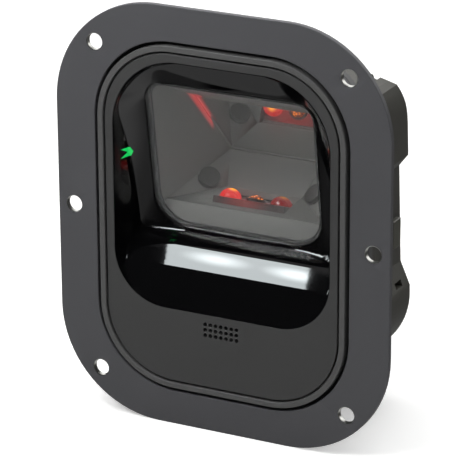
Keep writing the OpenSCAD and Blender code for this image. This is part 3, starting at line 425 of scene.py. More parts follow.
def visor_rings(at, s, wall_steps=7, floor_steps=40, search=800):
    """Front surface of the visor as rings from its outline in to the window, and the way inward.

    Each point of the outline has a straight path to its partner on the aperture. Along it the
    depth is the least of three: the steep wall, a floor that falls evenly to the window, and the
    nose, which depends on the height alone. Rings gather at the crease between wall and floor.
    """
    tiny, shallow, near_power, away_gain = 1e-9, 0.05 * MM, 1.6, 0.35
    edge = rounded_loops(*at.visor)[0]
    hole = window_loop(grown(at.aperture, s.lip), 0, at)[0]
    along = np.roll(edge, -1, axis=0) - np.roll(edge, 1, axis=0)
    inward = np.stack([along[:, 1], -along[:, 0]], 1)
    inward /= np.linalg.norm(inward, axis=1, keepdims=True)
    path = hole[:, [0, 2]] - edge
    run = np.sum(path * inward, axis=1)
    start, end = side_floor(edge[:, 1], at, s), hole[:, 1] - at.cover

    def depths(u):
        """Depths of the wall and of the floor, softly joined with the nose, at u of the path."""
        even = start + (end - start) * u
        nose = nose_depth(edge[:, 1] + path[:, 1] * u, at, s)
        return wall_depth(run * u, s), soft_min(even, nose, NOSE_ROUND * u * (1 - u) + tiny)

    wall, floor = depths(np.linspace(0, 1, search + 1)[:, None])
    crease = np.where(floor[0] > shallow, np.argmax(wall > floor, axis=0) / search, 0.0)
    near = 1 - np.linspace(1, 0, wall_steps) ** near_power
    away = np.linspace(0, 1, floor_steps + 1)[1:]
    away = away + away_gain * away * (1 - away)
    u = np.concatenate([crease * near[:, None], crease + (1 - crease) * away[:, None]])
    wall, floor = depths(u)
    depth = soft_min(wall, floor, np.minimum(s.crease, np.maximum(floor[0], tiny)))
    depth[-1] = end
    flat = edge + path * u[..., None]
    return np.stack([flat[..., 0], at.cover + depth, flat[..., 1]], -1), inward


# Meshes and pieces


def finish_shading(mesh, sharp):
    """Smooth faces with edges kept sharp above the angle in degrees."""
    mesh.polygons.foreach_set("use_smooth", np.ones(len(mesh.polygons), bool))
    mesh.set_sharp_from_angle(angle=math.radians(sharp))


def mesh_of(shells, sharp=SHARP):
    """Mesh of closed shells: doubles merged, faces outward, edges sharper than the angle kept."""
    points = np.concatenate([p for p, _ in shells])
    starts = np.cumsum([0] + [len(p) for p, _ in shells])
    faces = [[i + start for i in face] for (_, group), start in zip(shells, starts) for face in group]
    mesh = bpy.data.meshes.new("piece")
    mesh.from_pydata(points.tolist(), [], faces)
    work = bmesh.new()
    work.from_mesh(mesh)
    bmesh.ops.remove_doubles(work, verts=work.verts, dist=MERGE)
    bmesh.ops.recalc_face_normals(work, faces=work.faces)
    work.to_mesh(mesh)
    work.free()
    finish_shading(mesh, sharp)
    return mesh


def cut(mesh, cutters):
    """Mesh with closed shells taken out of it."""
    body = bpy.data.objects.new("work_body", mesh)
    tool = bpy.data.objects.new("work_tool", mesh_of(cutters))
    for obj in (body, tool):
        bpy.context.scene.collection.objects.link(obj)
    taken = body.modifiers.new("cut", "BOOLEAN")
    taken.operation, taken.solver, taken.object = "DIFFERENCE", "EXACT", tool
    bpy.context.view_layer.update()
    result = bpy.data.meshes.new_from_object(body.evaluated_get(bpy.context.evaluated_depsgraph_get()))
    for obj in (body, tool):
        bpy.data.objects.remove(obj)
    finish_shading(result, SHARP)
    return result


def add_to(mesh, other):
    """Puts the faces of another mesh into a mesh."""
    work = bmesh.new()
    work.from_mesh(mesh)
    work.from_mesh(other)
    work.to_mesh(mesh)
    work.free()
    finish_shading(mesh, SHARP)


def piece(node_name, mesh, material):
    """Object that stands for a CAD node: it rides on the root, takes the given finish and hides the
    node.
    """
    obj = bpy.data.objects.new(node_name + "_dressed", mesh)
    bpy.context.scene.collection.objects.link(obj)
    mesh.name = obj.name
    mesh.materials.clear()
    mesh.materials.append(material)
    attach(obj, "root")
    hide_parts(node_name)
    return obj


def eased_node(name, width, material):
    """Piece made from a copy of a CAD node: merged, its flats joined, its edges rounded."""
    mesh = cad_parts[name].data.copy()
    work = bmesh.new()
    work.from_mesh(mesh)
    bmesh.ops.remove_doubles(work, verts=work.verts, dist=MERGE)
    bmesh.ops.dissolve_limit(work, angle_limit=math.radians(FLAT), verts=work.verts, edges=work.edges)
    work.to_mesh(mesh)
    work.free()
    finish_shading(mesh, NODE_SHARP)
    obj = piece(name, mesh, material)
    bevel = obj.modifiers.new("edges", "BEVEL")
    bevel.width, bevel.segments, bevel.limit_method = width, 2, "ANGLE"
    bevel.angle_limit, bevel.harden_normals = math.radians(NODE_SHARP), True
    bevel.use_clamp_overlap = True


def dress(material, *names):
    """Gives CAD nodes a finish in every material slot."""
    for name in names:
        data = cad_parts[name].data
        if not data.materials:
            data.materials.append(material)
        for index in range(len(data.materials)):
            data.materials[index] = material


def pale_bores_painted_highlight(mesh, holes, radius):
    """Gives the walls of the flange's holes a pale steel finish, a painted highlight that makes them
    show bright, as walls catching the light do.
    """
    mesh.materials.append(zinc_plate("pale_steel_painted_highlight", linear(0xC4C4BF), rough=0.3))
    count = len(mesh.polygons)
    middle, facing = np.empty(count * 3), np.empty(count * 3)
    mesh.polygons.foreach_get("center", middle)
    mesh.polygons.foreach_get("normal", facing)
    off = middle.reshape(-1, 1, 3)[..., [0, 2]] - holes
    near = np.min(np.linalg.norm(off, axis=2), axis=1) < radius
    upright = np.abs(facing.reshape(-1, 3)[:, 1]) < 0.95
    mesh.polygons.foreach_set("material_index", (near & upright).astype(np.int32))


# Finishes: each is made from one Principled shader, and named for the real material


def node(tree, kind, inputs=None, **settings):
    """Adds a node, sets its properties, and fills its inputs with values or other nodes' outputs."""
    made = tree.nodes.new(kind)
    for key, value in settings.items():
        setattr(made, key, value)
    for key, value in (inputs or {}).items():
        if isinstance(value, bpy.types.NodeSocket):
            tree.links.new(value, made.inputs[key])
        else:
            made.inputs[key].default_value = value
    return made


def finish(name, base, **values):
    """Material with one Principled shader, its constants on the shader's own sockets."""
    mat = bpy.data.materials.new(name)
    mat.use_nodes = True
    shader = mat.node_tree.nodes["Principled BSDF"]
    shader.inputs["Base Color"].default_value = (*base, 1)
    for key, value in values.items():
        shader.inputs[key.replace("_", " ").title().replace("Ior", "IOR")].default_value = value
    return mat


def grained(mat, grain, height, shade=0.1, gloss=0.05, patch=18 * MM):
    """Surface grain: fine noise of the given width bends the surface by its height.

    Both noises shade the colour by a share of itself, and the wide one shifts the roughness, as
    flow and handling do on a real part.
    """
    tree = mat.node_tree
    shader = tree.nodes["Principled BSDF"]
    base = np.array(shader.inputs["Base Color"].default_value[:3])
    rough = shader.inputs["Roughness"].default_value
    place = node(tree, "ShaderNodeTexCoord").outputs["Object"]
    fine = node(tree, "ShaderNodeTexNoise",
                {"Vector": place, "Scale": 1 / grain, "Detail": 3.0, "Roughness": 0.6})
    wide = node(tree, "ShaderNodeTexNoise", {"Vector": place, "Scale": 1 / patch, "Detail": 2.0})
    both = node(tree, "ShaderNodeMath", {0: fine.outputs[0], 1: wide.outputs[0]}, operation="ADD")
    part = node(tree, "ShaderNodeMath", {0: both.outputs[0], 1: 0.5}, operation="MULTIPLY")
    dark, pale = base * (1 - shade), np.minimum(base * (1 + shade), 1)
    tint = node(tree, "ShaderNodeMix", {0: part.outputs[0], 6: (*dark, 1), 7: (*pale, 1)},
                data_type="RGBA")
    tree.links.new(tint.outputs[2], shader.inputs["Base Color"])
    worn = node(tree, "ShaderNodeMapRange",
                {"Value": wide.outputs[0], 1: 0.3, 2: 0.7, 3: rough - gloss, 4: rough + gloss})
    tree.links.new(worn.outputs[0], shader.inputs["Roughness"])
    bump = node(tree, "ShaderNodeBump",
                {"Height": fine.outputs[0], "Strength": 1.0, "Distance": height})
    tree.links.new(bump.outputs[0], shader.inputs["Normal"])
    return mat


def lit_near(mat, middle, radii, colours, strengths):
    """Glow that changes in colour and strength between two distances from a point: a lens's glow with
    its painted hot spot, or painted red light near the lenses.
    """
    tree = mat.node_tree
    shader = tree.nodes["Principled BSDF"]
    place = node(tree, "ShaderNodeTexCoord").outputs["Object"]
    off = node(tree, "ShaderNodeVectorMath", {0: place, 1: tuple(middle)}, operation="DISTANCE")
    share = node(tree, "ShaderNodeMapRange",
                 {"Value": off.outputs["Value"], 1: radii[0], 2: radii[1]},
                 interpolation_type="SMOOTHSTEP")
    tint = node(tree, "ShaderNodeMix",
                {0: share.outputs[0], 6: (*colours[0], 1), 7: (*colours[1], 1)}, data_type="RGBA")
    level = node(tree, "ShaderNodeMapRange",
                 {"Value": share.outputs[0], 3: strengths[0], 4: strengths[1]})
    tree.links.new(tint.outputs[2], shader.inputs["Emission Color"])
    tree.links.new(level.outputs[0], shader.inputs["Emission Strength"])


def powder_coat(c):
    """Polyester powder coat, sprayed and baked on steel: even charcoal with a faint orange peel.

    Its grain, near 0.3 mm, is drawn at 0.7 mm so that it shows.
    """
    return grained(finish("powder_coated_steel", c.flange, roughness=0.5, ior=1.5),
                   0.7 * MM, 0.012 * MM, shade=0.07)


def moulded(name, base, rough=0.55, grain=0.6, height=0.02, shade=0.08):
    """Thermoplastic from a spark-eroded mould: matt, with a fine pebble grain under a soft sheen.

    The grain and its height are in millimetres.
    """
    return grained(finish(name, base, roughness=rough, ior=1.53), grain * MM, height * MM, shade=shade)


def gloss_black(c):
    """Polycarbonate from a polished mould: piano black, mirror-like, hardly any grain."""
    return grained(finish("polished_polycarbonate", c.visor, roughness=0.02, ior=1.56),
                   6 * MM, 0.002 * MM, shade=0.1, gloss=0.005)


def cast_acrylic():
    """Cast acrylic pane: clear, faintly grey, with sharp reflections.

    Rays towards a lamp see a clear film instead, so that the lamps' light comes through.
    """
    mat = finish("cast_acrylic", linear(0xF4F6F6), roughness=0.02, ior=1.49, transmission_weight=1.0)
    tree = mat.node_tree
    film = node(tree, "ShaderNodeBsdfTransparent", {"Color": (*linear(0xEEF0F0), 1)})
    way = node(tree, "ShaderNodeLightPath")
    mix = node(tree, "ShaderNodeMixShader",
               {0: way.outputs["Is Shadow Ray"], 1: tree.nodes["Principled BSDF"].outputs[0],
                2: film.outputs[0]})
    tree.links.new(mix.outputs[0], tree.nodes["Material Output"].inputs["Surface"])
    return mat


def silvered_glass():
    """Front-surface mirror: evaporated aluminium on float glass, perfectly smooth."""
    return grained(finish("front_surface_mirror", linear(0xD8D8D6), roughness=0.02, metallic=1.0),
                   12 * MM, 0.0002 * MM, shade=0.02, gloss=0.005)


def zinc_plate(name, base, rough=0.35):
    """Plated or bare steel: pale metal with soft blur from tumbling or rolling."""
    return grained(finish(name, base, roughness=rough, metallic=1.0), 0.5 * MM, 0.004 * MM, shade=0.12)


def green_guide(c):
    """Green acrylic light guide, moulded clear and lit from behind: an even glow."""
    mat = finish("green_acrylic_guide", linear(0x0A7A38), roughness=0.25, ior=1.49,
                 emission_color=(*c.pointer, 1), emission_strength=0.72)
    return grained(mat, 0.8 * MM, 0.01 * MM, shade=0.1)


def red_lens(name, painted_hot_spot, gain):
    """Red acrylic illumination lens, glowing red with its LED's light, with an orange hot spot painted
    at the dome's top as a highlight.
    """
    mat = finish("red_acrylic_" + name, linear(0x3A0606), roughness=0.2, ior=1.49)
    grained(mat, 0.8 * MM, 0.02 * MM, shade=0.15)
    lit_near(mat, painted_hot_spot, (0.5 * MM, 2.4 * MM), (linear(0xFFA424), linear(0xF01408)),
             (1.5 * gain, 0.75 * gain))
    return mat


def coated_glass_painted_glints():
    """Coated lens glass with painted light: an orange glow, and bright spots painted as its reflection
    of the ring of LEDs.

    The bright spots are drawn as cells 1.1 mm apart.
    """
    mat = finish("coated_lens_glass_painted_glints", linear(0x5A2A18), roughness=0.05, ior=1.6)
    tree = mat.node_tree
    place = node(tree, "ShaderNodeTexCoord").outputs["Object"]
    cells = node(tree, "ShaderNodeTexVoronoi",
                 {"Vector": place, "Scale": 1 / (1.1 * MM), "Randomness": 0.5})
    # Painted reflection: bright spots in a painted orange glow
    painted_led_glints = node(tree, "ShaderNodeMapRange",
                {"Value": cells.outputs["Distance"], 1: 0.15, 2: 0.5, 3: 2.2, 4: 0.12},
                interpolation_type="SMOOTHSTEP")
    tint = node(tree, "ShaderNodeMix",
                {0: painted_led_glints.outputs[0], 6: (*linear(0xD01808), 1), 7: (*linear(0xFF8A1C), 1)},
                data_type="RGBA")
    shader = tree.nodes["Principled BSDF"]
    tree.links.new(tint.outputs[2], shader.inputs["Emission Color"])
    tree.links.new(painted_led_glints.outputs[0], shader.inputs["Emission Strength"])
    return mat


def chamber_plastic_painted_red_light(c):
    """Matt moulded polycarbonate of the funnel, grey, with a painted wedge of red light where the
    engine's light would fall.

    The painted light glows on the left wall where a point lies past each of its four edges, and the
    last edge keeps it on the wall's inner face.
    """
    mat = moulded("matt_moulded_pc_painted_red_light", c.chamber, rough=0.5, grain=0.8, height=0.012, shade=0.06)
    tree = mat.node_tree
    place = node(tree, "ShaderNodeTexCoord").outputs["Object"]
    level = PAINTED_RED_LIGHT_STRENGTH
    for middle, across, soft in PAINTED_RED_LIGHT_EDGES:
        off = node(tree, "ShaderNodeVectorMath", {0: place, 1: tuple(v * MM for v in middle)},
                   operation="SUBTRACT")
        far = node(tree, "ShaderNodeVectorMath", {0: off.outputs[0], 1: across},
                   operation="DOT_PRODUCT")
        mask = node(tree, "ShaderNodeMapRange", {"Value": far.outputs["Value"], 1: 0.0, 2: soft * MM},
                    interpolation_type="SMOOTHSTEP")
        level = node(tree, "ShaderNodeMath", {0: level, 1: mask.outputs[0]},
                     operation="MULTIPLY").outputs[0]
    # Painted light: the masked emission stands for the engine's red light on the wall
    shader = tree.nodes["Principled BSDF"]
    shader.inputs["Emission Color"].default_value = (*linear(0xD8282C), 1)
    tree.links.new(level, shader.inputs["Emission Strength"])
    return mat


def circuit_board():
    """FR-4 with green solder mask: copper tracks show as paler lines, 3 mm and 1.5 mm apart.

    A brick texture's unit holds two bricks across and four rows, so it is 6 mm wide.
    """
    mask, shaded, track = (linear(code) for code in (0x1F5A35, 0x1B5030, 0x3A7A4C))
    mat = finish("solder_masked_board", mask, roughness=0.35, ior=1.55)
    grained(mat, 1.5 * MM, 0.03 * MM, shade=0.15)
    tree = mat.node_tree
    place = node(tree, "ShaderNodeTexCoord").outputs["Object"]
    tracks = node(tree, "ShaderNodeTexBrick",
                  {"Vector": place, "Scale": 1 / (6 * MM), "Mortar Size": 0.03,
                   "Color1": (*mask, 1), "Color2": (*shaded, 1), "Mortar": (*track, 1)})
    tree.links.new(tracks.outputs["Color"], tree.nodes["Principled BSDF"].inputs["Base Color"])
    return mat


def woven_cloth():
    """Acoustic mesh, woven polyester: dark threads, with dull highlights painted where they cross.

    They are 0.25 mm apart, and are drawn 0.47 mm apart so that they show. A wave texture's bands
    lie 2 pi / 20 of its unit apart.
    """
    mat = finish("acoustic_mesh", linear(0x141414), roughness=0.9, sheen_weight=0.2)
    tree = mat.node_tree
    shader = tree.nodes["Principled BSDF"]
    place = node(tree, "ShaderNodeTexCoord").outputs["Object"]
    scale = 2 * math.pi / 20 / (0.47 * MM)
    waves = [node(tree, "ShaderNodeTexWave", {"Vector": place, "Scale": scale}, bands_direction=axis)
             for axis in ("X", "Z")]
    weave = node(tree, "ShaderNodeMath", {0: waves[0].outputs["Fac"], 1: waves[1].outputs["Fac"]},
                 operation="MULTIPLY")
    # Painted highlight: lighter colour where the threads cross
    tint = node(tree, "ShaderNodeMix",
                {0: weave.outputs[0], 6: (*linear(0x070707), 1), 7: (*linear(0x1E1E1E), 1)},
                data_type="RGBA")
    tree.links.new(tint.outputs[2], shader.inputs["Base Color"])
    bump = node(tree, "ShaderNodeBump", {"Height": weave.outputs[0], "Distance": 0.1 * MM})
    tree.links.new(bump.outputs[0], shader.inputs["Normal"])
    return mat


# Studio


def view_direction():
    """Direction from the object to the camera: to the right and up from straight ahead."""
    turn, rise = math.radians(VIEW_RIGHT), math.radians(VIEW_UP)
    level = math.cos(rise)
    return Vector((math.sin(turn) * level, -math.cos(turn) * level, math.sin(rise)))


def stage_object(name, mesh, material):
    """Object of the stage with its finish."""
    mesh.materials.append(material)
    obj = bpy.data.objects.new(name, mesh)
    bpy.context.scene.collection.objects.link(obj)
    return obj


def paper_floor():
    """Matt white paper floor, 8 m square, lifted towards white for the camera alone."""
    half, level = 4.0, FLANGE_LO.z
    mesh = bpy.data.meshes.new("floor")
    corners = [(x, y, level) for x, y in ((-half, -half), (half, -half), (half, half), (-half, half))]
    mesh.from_pydata(corners, [], [(0, 1, 2, 3)])
    mat = grained(finish("matt_paper", linear(0xF2F2F1), roughness=0.9), 1 * MM, 0.01 * MM, shade=0.01)
    tree = mat.node_tree
    way = node(tree, "ShaderNodeLightPath")
    part = node(tree, "ShaderNodeMath", {0: way.outputs["Is Camera Ray"], 1: 0.4}, operation="MULTIPLY")
    lift = node(tree, "ShaderNodeEmission", {"Color": (1, 1, 1, 1), "Strength": part.outputs[0]})
    total = node(tree, "ShaderNodeAddShader",
                 {0: tree.nodes["Principled BSDF"].outputs[0], 1: lift.outputs[0]})
    tree.links.new(total.outputs[0], tree.nodes["Material Output"].inputs["Surface"])
    stage_object("floor", mesh, mat).visible_glossy = False


def room(scene):
    """World that is white to the camera and a dim fill to the rest, but a soft room to gloss.

    The room's brightness is the greatest of its parts, each the product of its ramps.
    """
    world = bpy.data.worlds.new("studio")
    scene.world = world
    world.use_nodes = True
    tree = world.node_tree
    way = node(tree, "ShaderNodeLightPath")
    ray = node(tree, "ShaderNodeTexCoord").outputs["Generated"]
    place = node(tree, "ShaderNodeSeparateXYZ", {0: ray})
    seen = ROOM_DARK
    for ramps in ROOM:
        level = 1.0
        for axis, start, end, low, high in ramps:
            ramp = node(tree, "ShaderNodeMapRange",
                        {"Value": place.outputs[axis], 1: start, 2: end, 3: low, 4: high},
                        interpolation_type="SMOOTHSTEP")
            level = node(tree, "ShaderNodeMath", {0: level, 1: ramp.outputs[0]},
                         operation="MULTIPLY").outputs[0]
        seen = node(tree, "ShaderNodeMath", {0: seen, 1: level}, operation="MAXIMUM").outputs[0]
    gloss = node(tree, "ShaderNodeMix", {0: way.outputs["Is Glossy Ray"], 2: ROOM_FILL, 3: seen})
    level = node(tree, "ShaderNodeMix",
                 {0: way.outputs["Is Camera Ray"], 2: gloss.outputs[0], 3: 1.0})
    tree.links.new(level.outputs[0], tree.nodes["Background"].inputs["Strength"])
    tree.nodes["Background"].inputs["Color"].default_value = (1, 1, 1, 1)


def softbox_cloth():
    """Translucent nylon of a softbox: even white with brighter spots in front of its lamps.

    Only a ray's first reflection sees it; to all others it is clear.
    """
    mat = bpy.data.materials.new("softbox_cloth")
    mat.use_nodes = True
    tree = mat.node_tree
    tree.nodes.remove(tree.nodes["Principled BSDF"])
    spot = node(tree, "ShaderNodeUVMap", uv_map="panel")
    level = PANEL_EVEN
    for middle, gain in PANEL_SPOTS:
        off = node(tree, "ShaderNodeVectorMath", {0: spot.outputs[0], 1: middle}, operation="SUBTRACT")
        wide = node(tree, "ShaderNodeVectorMath", {0: off.outputs[0], 1: (1, 0.8, 1)},
                    operation="MULTIPLY")
        far = node(tree, "ShaderNodeVectorMath", {0: wide.outputs[0]}, operation="LENGTH")
        core = node(tree, "ShaderNodeMapRange",
                    {"Value": far.outputs["Value"], 1: 0.0, 2: 0.3, 3: gain, 4: 0.0},
                    interpolation_type="SMOOTHSTEP")
        level = node(tree, "ShaderNodeMath", {0: level, 1: core.outputs[0]},
                     operation="ADD").outputs[0]
    glow = node(tree, "ShaderNodeEmission", {"Color": (*linear(0xF2FAFC), 1), "Strength": level})
    hide = node(tree, "ShaderNodeBsdfTransparent")
    way = node(tree, "ShaderNodeLightPath")
    first = node(tree, "ShaderNodeMath", {0: way.outputs["Ray Depth"], 1: 1.5}, operation="LESS_THAN")
    seen = node(tree, "ShaderNodeMath", {0: way.outputs["Is Glossy Ray"], 1: first.outputs[0]},
                operation="MULTIPLY")
    mix = node(tree, "ShaderNodeMixShader",
               {0: seen.outputs[0], 1: hide.outputs[0], 2: glow.outputs[0]})
    tree.links.new(mix.outputs[0], tree.nodes["Material Output"].inputs["Surface"])
    return mat


def softbox(at, rows=24):
    """Curved soft panel: each row lies on the camera's ray, mirrored by one slope of the nose.

    The mirrored ray is twice the slope's normal times its share of the view, less the view. The
    rows run from the first to the last slope, and their ends are spread from the sides on the
    nose as the camera sees them, so the panel's picture on the nose has straight edges.
    """
    view = np.array(view_direction())
    slope = np.radians(np.linspace(*PANEL_SLOPES, rows))
    facing = np.stack([0 * slope, -np.cos(slope), np.sin(slope)], 1)
    away = 2 * (facing @ view)[:, None] * facing - view
    middle = np.array([0, at.cover + PANEL_DEEP, at.visor[2] + PANEL_UP]) + away * PANEL_AWAY
    spread = (VIEW_AWAY + PANEL_AWAY) / VIEW_AWAY
    grid = np.stack([middle + (side * spread, 0, 0) for side in PANEL_SIDES], 1)
    faces = 2 * np.arange(rows - 1)[:, None] + (0, 1, 3, 2)
    mesh = bpy.data.meshes.new("softbox")
    mesh.from_pydata(grid.reshape(-1, 3).tolist(), [], faces.tolist())
    spots = np.stack([np.tile([0.0, 1.0], rows), np.repeat(np.linspace(0, 1, rows), 2)], 1)
    corner = np.empty(len(mesh.loops), np.int32)
    mesh.loops.foreach_get("vertex_index", corner)
    mesh.uv_layers.new(name="panel").data.foreach_set("uv", spots[corner].ravel())
    stage_object("softbox", mesh, softbox_cloth())


def lamp(name, place, size, power):
    """Square lamp that faces the middle of the object and isn't seen in its gloss."""
    data = bpy.data.lights.new(name, "AREA")
    data.shape, data.size, data.energy = "SQUARE", size, power
    obj = bpy.data.objects.new(name, data)
    obj.location = place
    obj.rotation_euler = (-Vector(place)).to_track_quat("-Z", "Y").to_euler()
    obj.visible_glossy = False
    bpy.context.scene.collection.objects.link(obj)


def camera(scene):
    """Camera at the photograph's angle, rolled a little about its own axis."""
    data = bpy.data.cameras.new("camera")
    data.sensor_width, data.lens, data.clip_start = SENSOR, LENS, 0.01
    obj = bpy.data.objects.new("camera", data)
    away = view_direction()
    right = Vector((0, 0, 1)).cross(away).normalized()
    up = away.cross(right)
    roll = math.radians(VIEW_ROLL)
    side = right * math.cos(roll) + up * math.sin(roll)
    over = up * math.cos(roll) - right * math.sin(roll)
    turn = Matrix((side, over, away)).transposed().to_4x4()
    obj.matrix_world = Matrix.Translation(VIEW_AIM + away * VIEW_AWAY) @ turn
    scene.collection.objects.link(obj)
    scene.camera = obj


# Operators: one for each piece or group of like pieces, and one for the stage


def chosen(context):
    """The layout, sizes and colours that the scene's settings give."""
    sizes = context.scene.scanner_sizes
    return layout(sizes), sizes, context.scene.scanner_colours


class SCANNER_OT_flange(bpy.types.Operator):
    """Stamped flange plate with its collar, six holes with eased edges and the screw lugs"""

    bl_idname = "scanner.flange"
    bl_label = "Mounting Flange"
    bl_options = {"REGISTER", "UNDO"}

    def execute(self, context):
        at, s, c = chosen(context)
        front, back, collar = FLANGE_LO.y, 0.0, FLANGE_HI.y
        wall, r, ease = SPAN - s.collar_wall, s.hole / 2, 0.3 * MM
        corners = [(0, front), (SPAN, front), (SPAN, collar), (wall, collar), (wall, back), (0, back)]
        profile = eased(corners, [s.edge, s.edge, ease, ease, 0, s.edge])
        plate = mesh_of([shell(swept(profile, at.plate, at.opening), loop=True)])
        side_x = FLANGE_HI.x - s.side_hole_x
        holes = [(-side_x, 0), (side_x, 0)]
        holes += four(FLANGE_HI.x - s.corner_hole_x, FLANGE_HI.z - s.corner_hole_z)
        bore = [(r + 2 * ease, front - ease), (r + ease, front), (r + 0.3 * ease, front + 0.3 * ease),
                (r, front + ease), (r, back - ease), (r + ease, back), (r + 2 * ease, back + ease)]
        body = cut(plate, posts(bore, holes))
        lug = [(s.boss, -0.5 * MM), (s.boss, collar - ease), (s.boss - ease, collar)]
        add_to(body, mesh_of(posts(lug, four(s.lug_x, s.lug_z))))
        piece("mounting_flange", body, powder_coat(c))
        # Painted highlight: pale steel on the walls of the holes
        pale_bores_painted_highlight(body, np.array(holes), r + 0.4 * MM)
        return {"FINISHED"}


class SCANNER_OT_bezel(bpy.types.Operator):
    """Raised rim of the head with its side wall, cover ledge, shoulder and screw bosses"""

    bl_idname = "scanner.bezel"
    bl_label = "Front Bezel"
    bl_options = {"REGISTER", "UNDO"}

    def execute(self, context):
        at, s, c = chosen(context)
        out, deep = -(s.flange_gap + s.collar_wall), s.rim + s.ledge
        seat, under, back = at.cover_back, at.cover_back + s.ledge_t, s.bezel_back
        collar = FLANGE_HI.y
        fine, mid, ease = 0.1 * MM, 0.2 * MM, 0.3 * MM
        corners = [(0, FACE), (s.rim, FACE), (s.rim, seat), (deep, seat), (deep, under),
                   (s.rim, under), (s.rim, back), (out, back), (out, collar), (0, collar)]
        profile = eased(corners, [s.edge, s.edge, fine, mid, mid, fine, mid, 2 * mid, mid, fine])
        post = [(s.boss, collar), (s.boss, back - ease), (s.boss - ease, back)]
        shells = [shell(swept(profile, at.head), loop=True), *posts(post, four(s.lug_x, s.lug_z))]
        # ABS, grained a little coarser than the cover
        mat = moulded("spark_grained_abs", c.bezel, rough=0.5, grain=0.7, height=0.012)
        piece("front_bezel", mesh_of(shells), mat)
        return {"FINISHED"}


class SCANNER_OT_cover(bpy.types.Operator):
    """Matt face cover with the visor's opening and the speaker grille"""

    bl_idname = "scanner.cover"
    bl_label = "Face Cover"
    bl_options = {"REGISTER", "UNDO"}

    def execute(self, context):
        at, s, c = chosen(context)
        front, back, fine = at.cover, at.cover_back, 0.1 * MM
        corners = [(0, front), (SPAN, front), (SPAN, back), (0, back)]
        profile = eased(corners, [s.edge, 0.22 * MM, fine, fine])
        opening = grown(at.visor, s.fit)
        body = mesh_of([shell(swept(profile, at.cover_edge, opening), loop=True)])
        r, ease = s.grille_hole / 2, 0.12 * MM
        bore = [(r + 2 * ease, front - ease), (r + ease, front), (r, front + ease), (r, back + ease)]
        spots = [((i - (s.grille_cols - 1) / 2) * s.grille_pitch,
                  at.grille_z + (j - (s.grille_rows - 1) / 2) * s.grille_pitch)
                 for i in range(s.grille_cols) for j in range(s.grille_rows)]
        # ABS with a fine grain, so it looks even and dark beside the rim
        mat = moulded("fine_grained_abs", c.cover, rough=0.5, grain=0.6, height=0.01)
        piece("face_cover", cut(body, posts(bore, spots, turns=24)), mat)
        return {"FINISHED"}


class SCANNER_OT_visor(bpy.types.Operator):
    """High-gloss bowl: steep wall, facets, brow and rounded nose, with a ledge for the pane"""

    bl_idname = "scanner.visor"
    bl_label = "Visor"
    bl_options = {"REGISTER", "UNDO"}

    def execute(self, context):
        at, s, c = chosen(context)
        front, inward = visor_rings(at, s)
        seat = grown(at.aperture, -s.fit - s.pane_ledge)
        rim, behind = 0.3 * s.lip, s.pane_t + s.visor_wall
        foot = grown(at.aperture, 1.4 * MM)
        window = [window_loop(grown(at.aperture, rim), rim, at), window_loop(at.aperture, s.lip, at),
                  window_loop(at.aperture, s.pane_t, at), window_loop(seat, s.pane_t, at),
                  window_loop(seat, behind, at), window_loop(foot, behind, at)]
        back = front[::-4].copy()
        back[..., [0, 2]] -= inward * s.visor_wall
        step = at.cover_back + s.visor_wall
        back[..., 1] = np.maximum(back[..., 1] + s.visor_wall, step)
        flange = grown(at.visor, 1 * MM)
        tail = [flat_loop(flange, step), flat_loop(flange, at.cover_back),
                flat_loop(at.visor, at.cover_back), flat_loop(at.visor, at.cover + 0.3 * MM),
                flat_loop(grown(at.visor, -0.02 * MM), at.cover + 0.08 * MM)]
        # The first rings of the back lie inside the frame round the window
        rings = np.concatenate([front, *window, back[2:], *tail])
        mesh = mesh_of([shell(rings, loop=True)], VISOR_SHARP)
        piece("visor", mesh, gloss_black(c))
        return {"FINISHED"}


class SCANNER_OT_pointer_lights(bpy.types.Operator):
    """Green arrow-shaped light guides in the visor's flanks"""

    bl_idname = "scanner.pointer_lights"
    bl_label = "Pointer Lights"
    bl_options = {"REGISTER", "UNDO"}

    def execute(self, context):
        at, s, c = chosen(context)
        arm = np.linspace(-1, 1, 33)[:, None]
        across = np.linspace(0, 1, 9)[None, :]
        lean = s.arrow_l - s.arrow_stroke
        x = s.arrow_x - s.arrow_l / 2 + lean * np.abs(arm) + s.arrow_stroke * across
        z = s.arrow_z + s.arrow_h / 2 * arm + 0 * across
        proud, thick = 0.06 * MM, 1.2 * MM
        front = np.stack([x, at.cover + side_depth(x, z, at, s) - proud, z], -1)
        rings = np.concatenate([front, front[:, ::-1] + (0, thick, 0)], axis=1)
        mat = green_guide(c)
        for side, name in ((-1, "pointer_light_left"), (1, "pointer_light_right")):
            piece(name, mesh_of([shell(rings * (side, 1, 1))]), mat)
        return {"FINISHED"}


class SCANNER_OT_window(bpy.types.Operator):
    """Clear pane with eased edges, tilted in the visor's aperture"""

    bl_idname = "scanner.window"
    bl_label = "Scan Window"
    bl_options = {"REGISTER", "UNDO"}

    def execute(self, context):
        at, s, _ = chosen(context)
        ease, face = 0.2 * MM, 0.02 * MM
        steps = [(-2 * ease, face), (-ease, face), (-0.3 * ease, 0.3 * ease), (0, ease),
                 (0, s.pane_t - ease), (-ease, s.pane_t), (-2 * ease, s.pane_t)]
        rings = np.concatenate([window_loop(grown(at.pane, by), back, at) for by, back in steps])
        piece("scan_window", mesh_of([shell(rings)]), cast_acrylic())
        return {"FINISHED"}


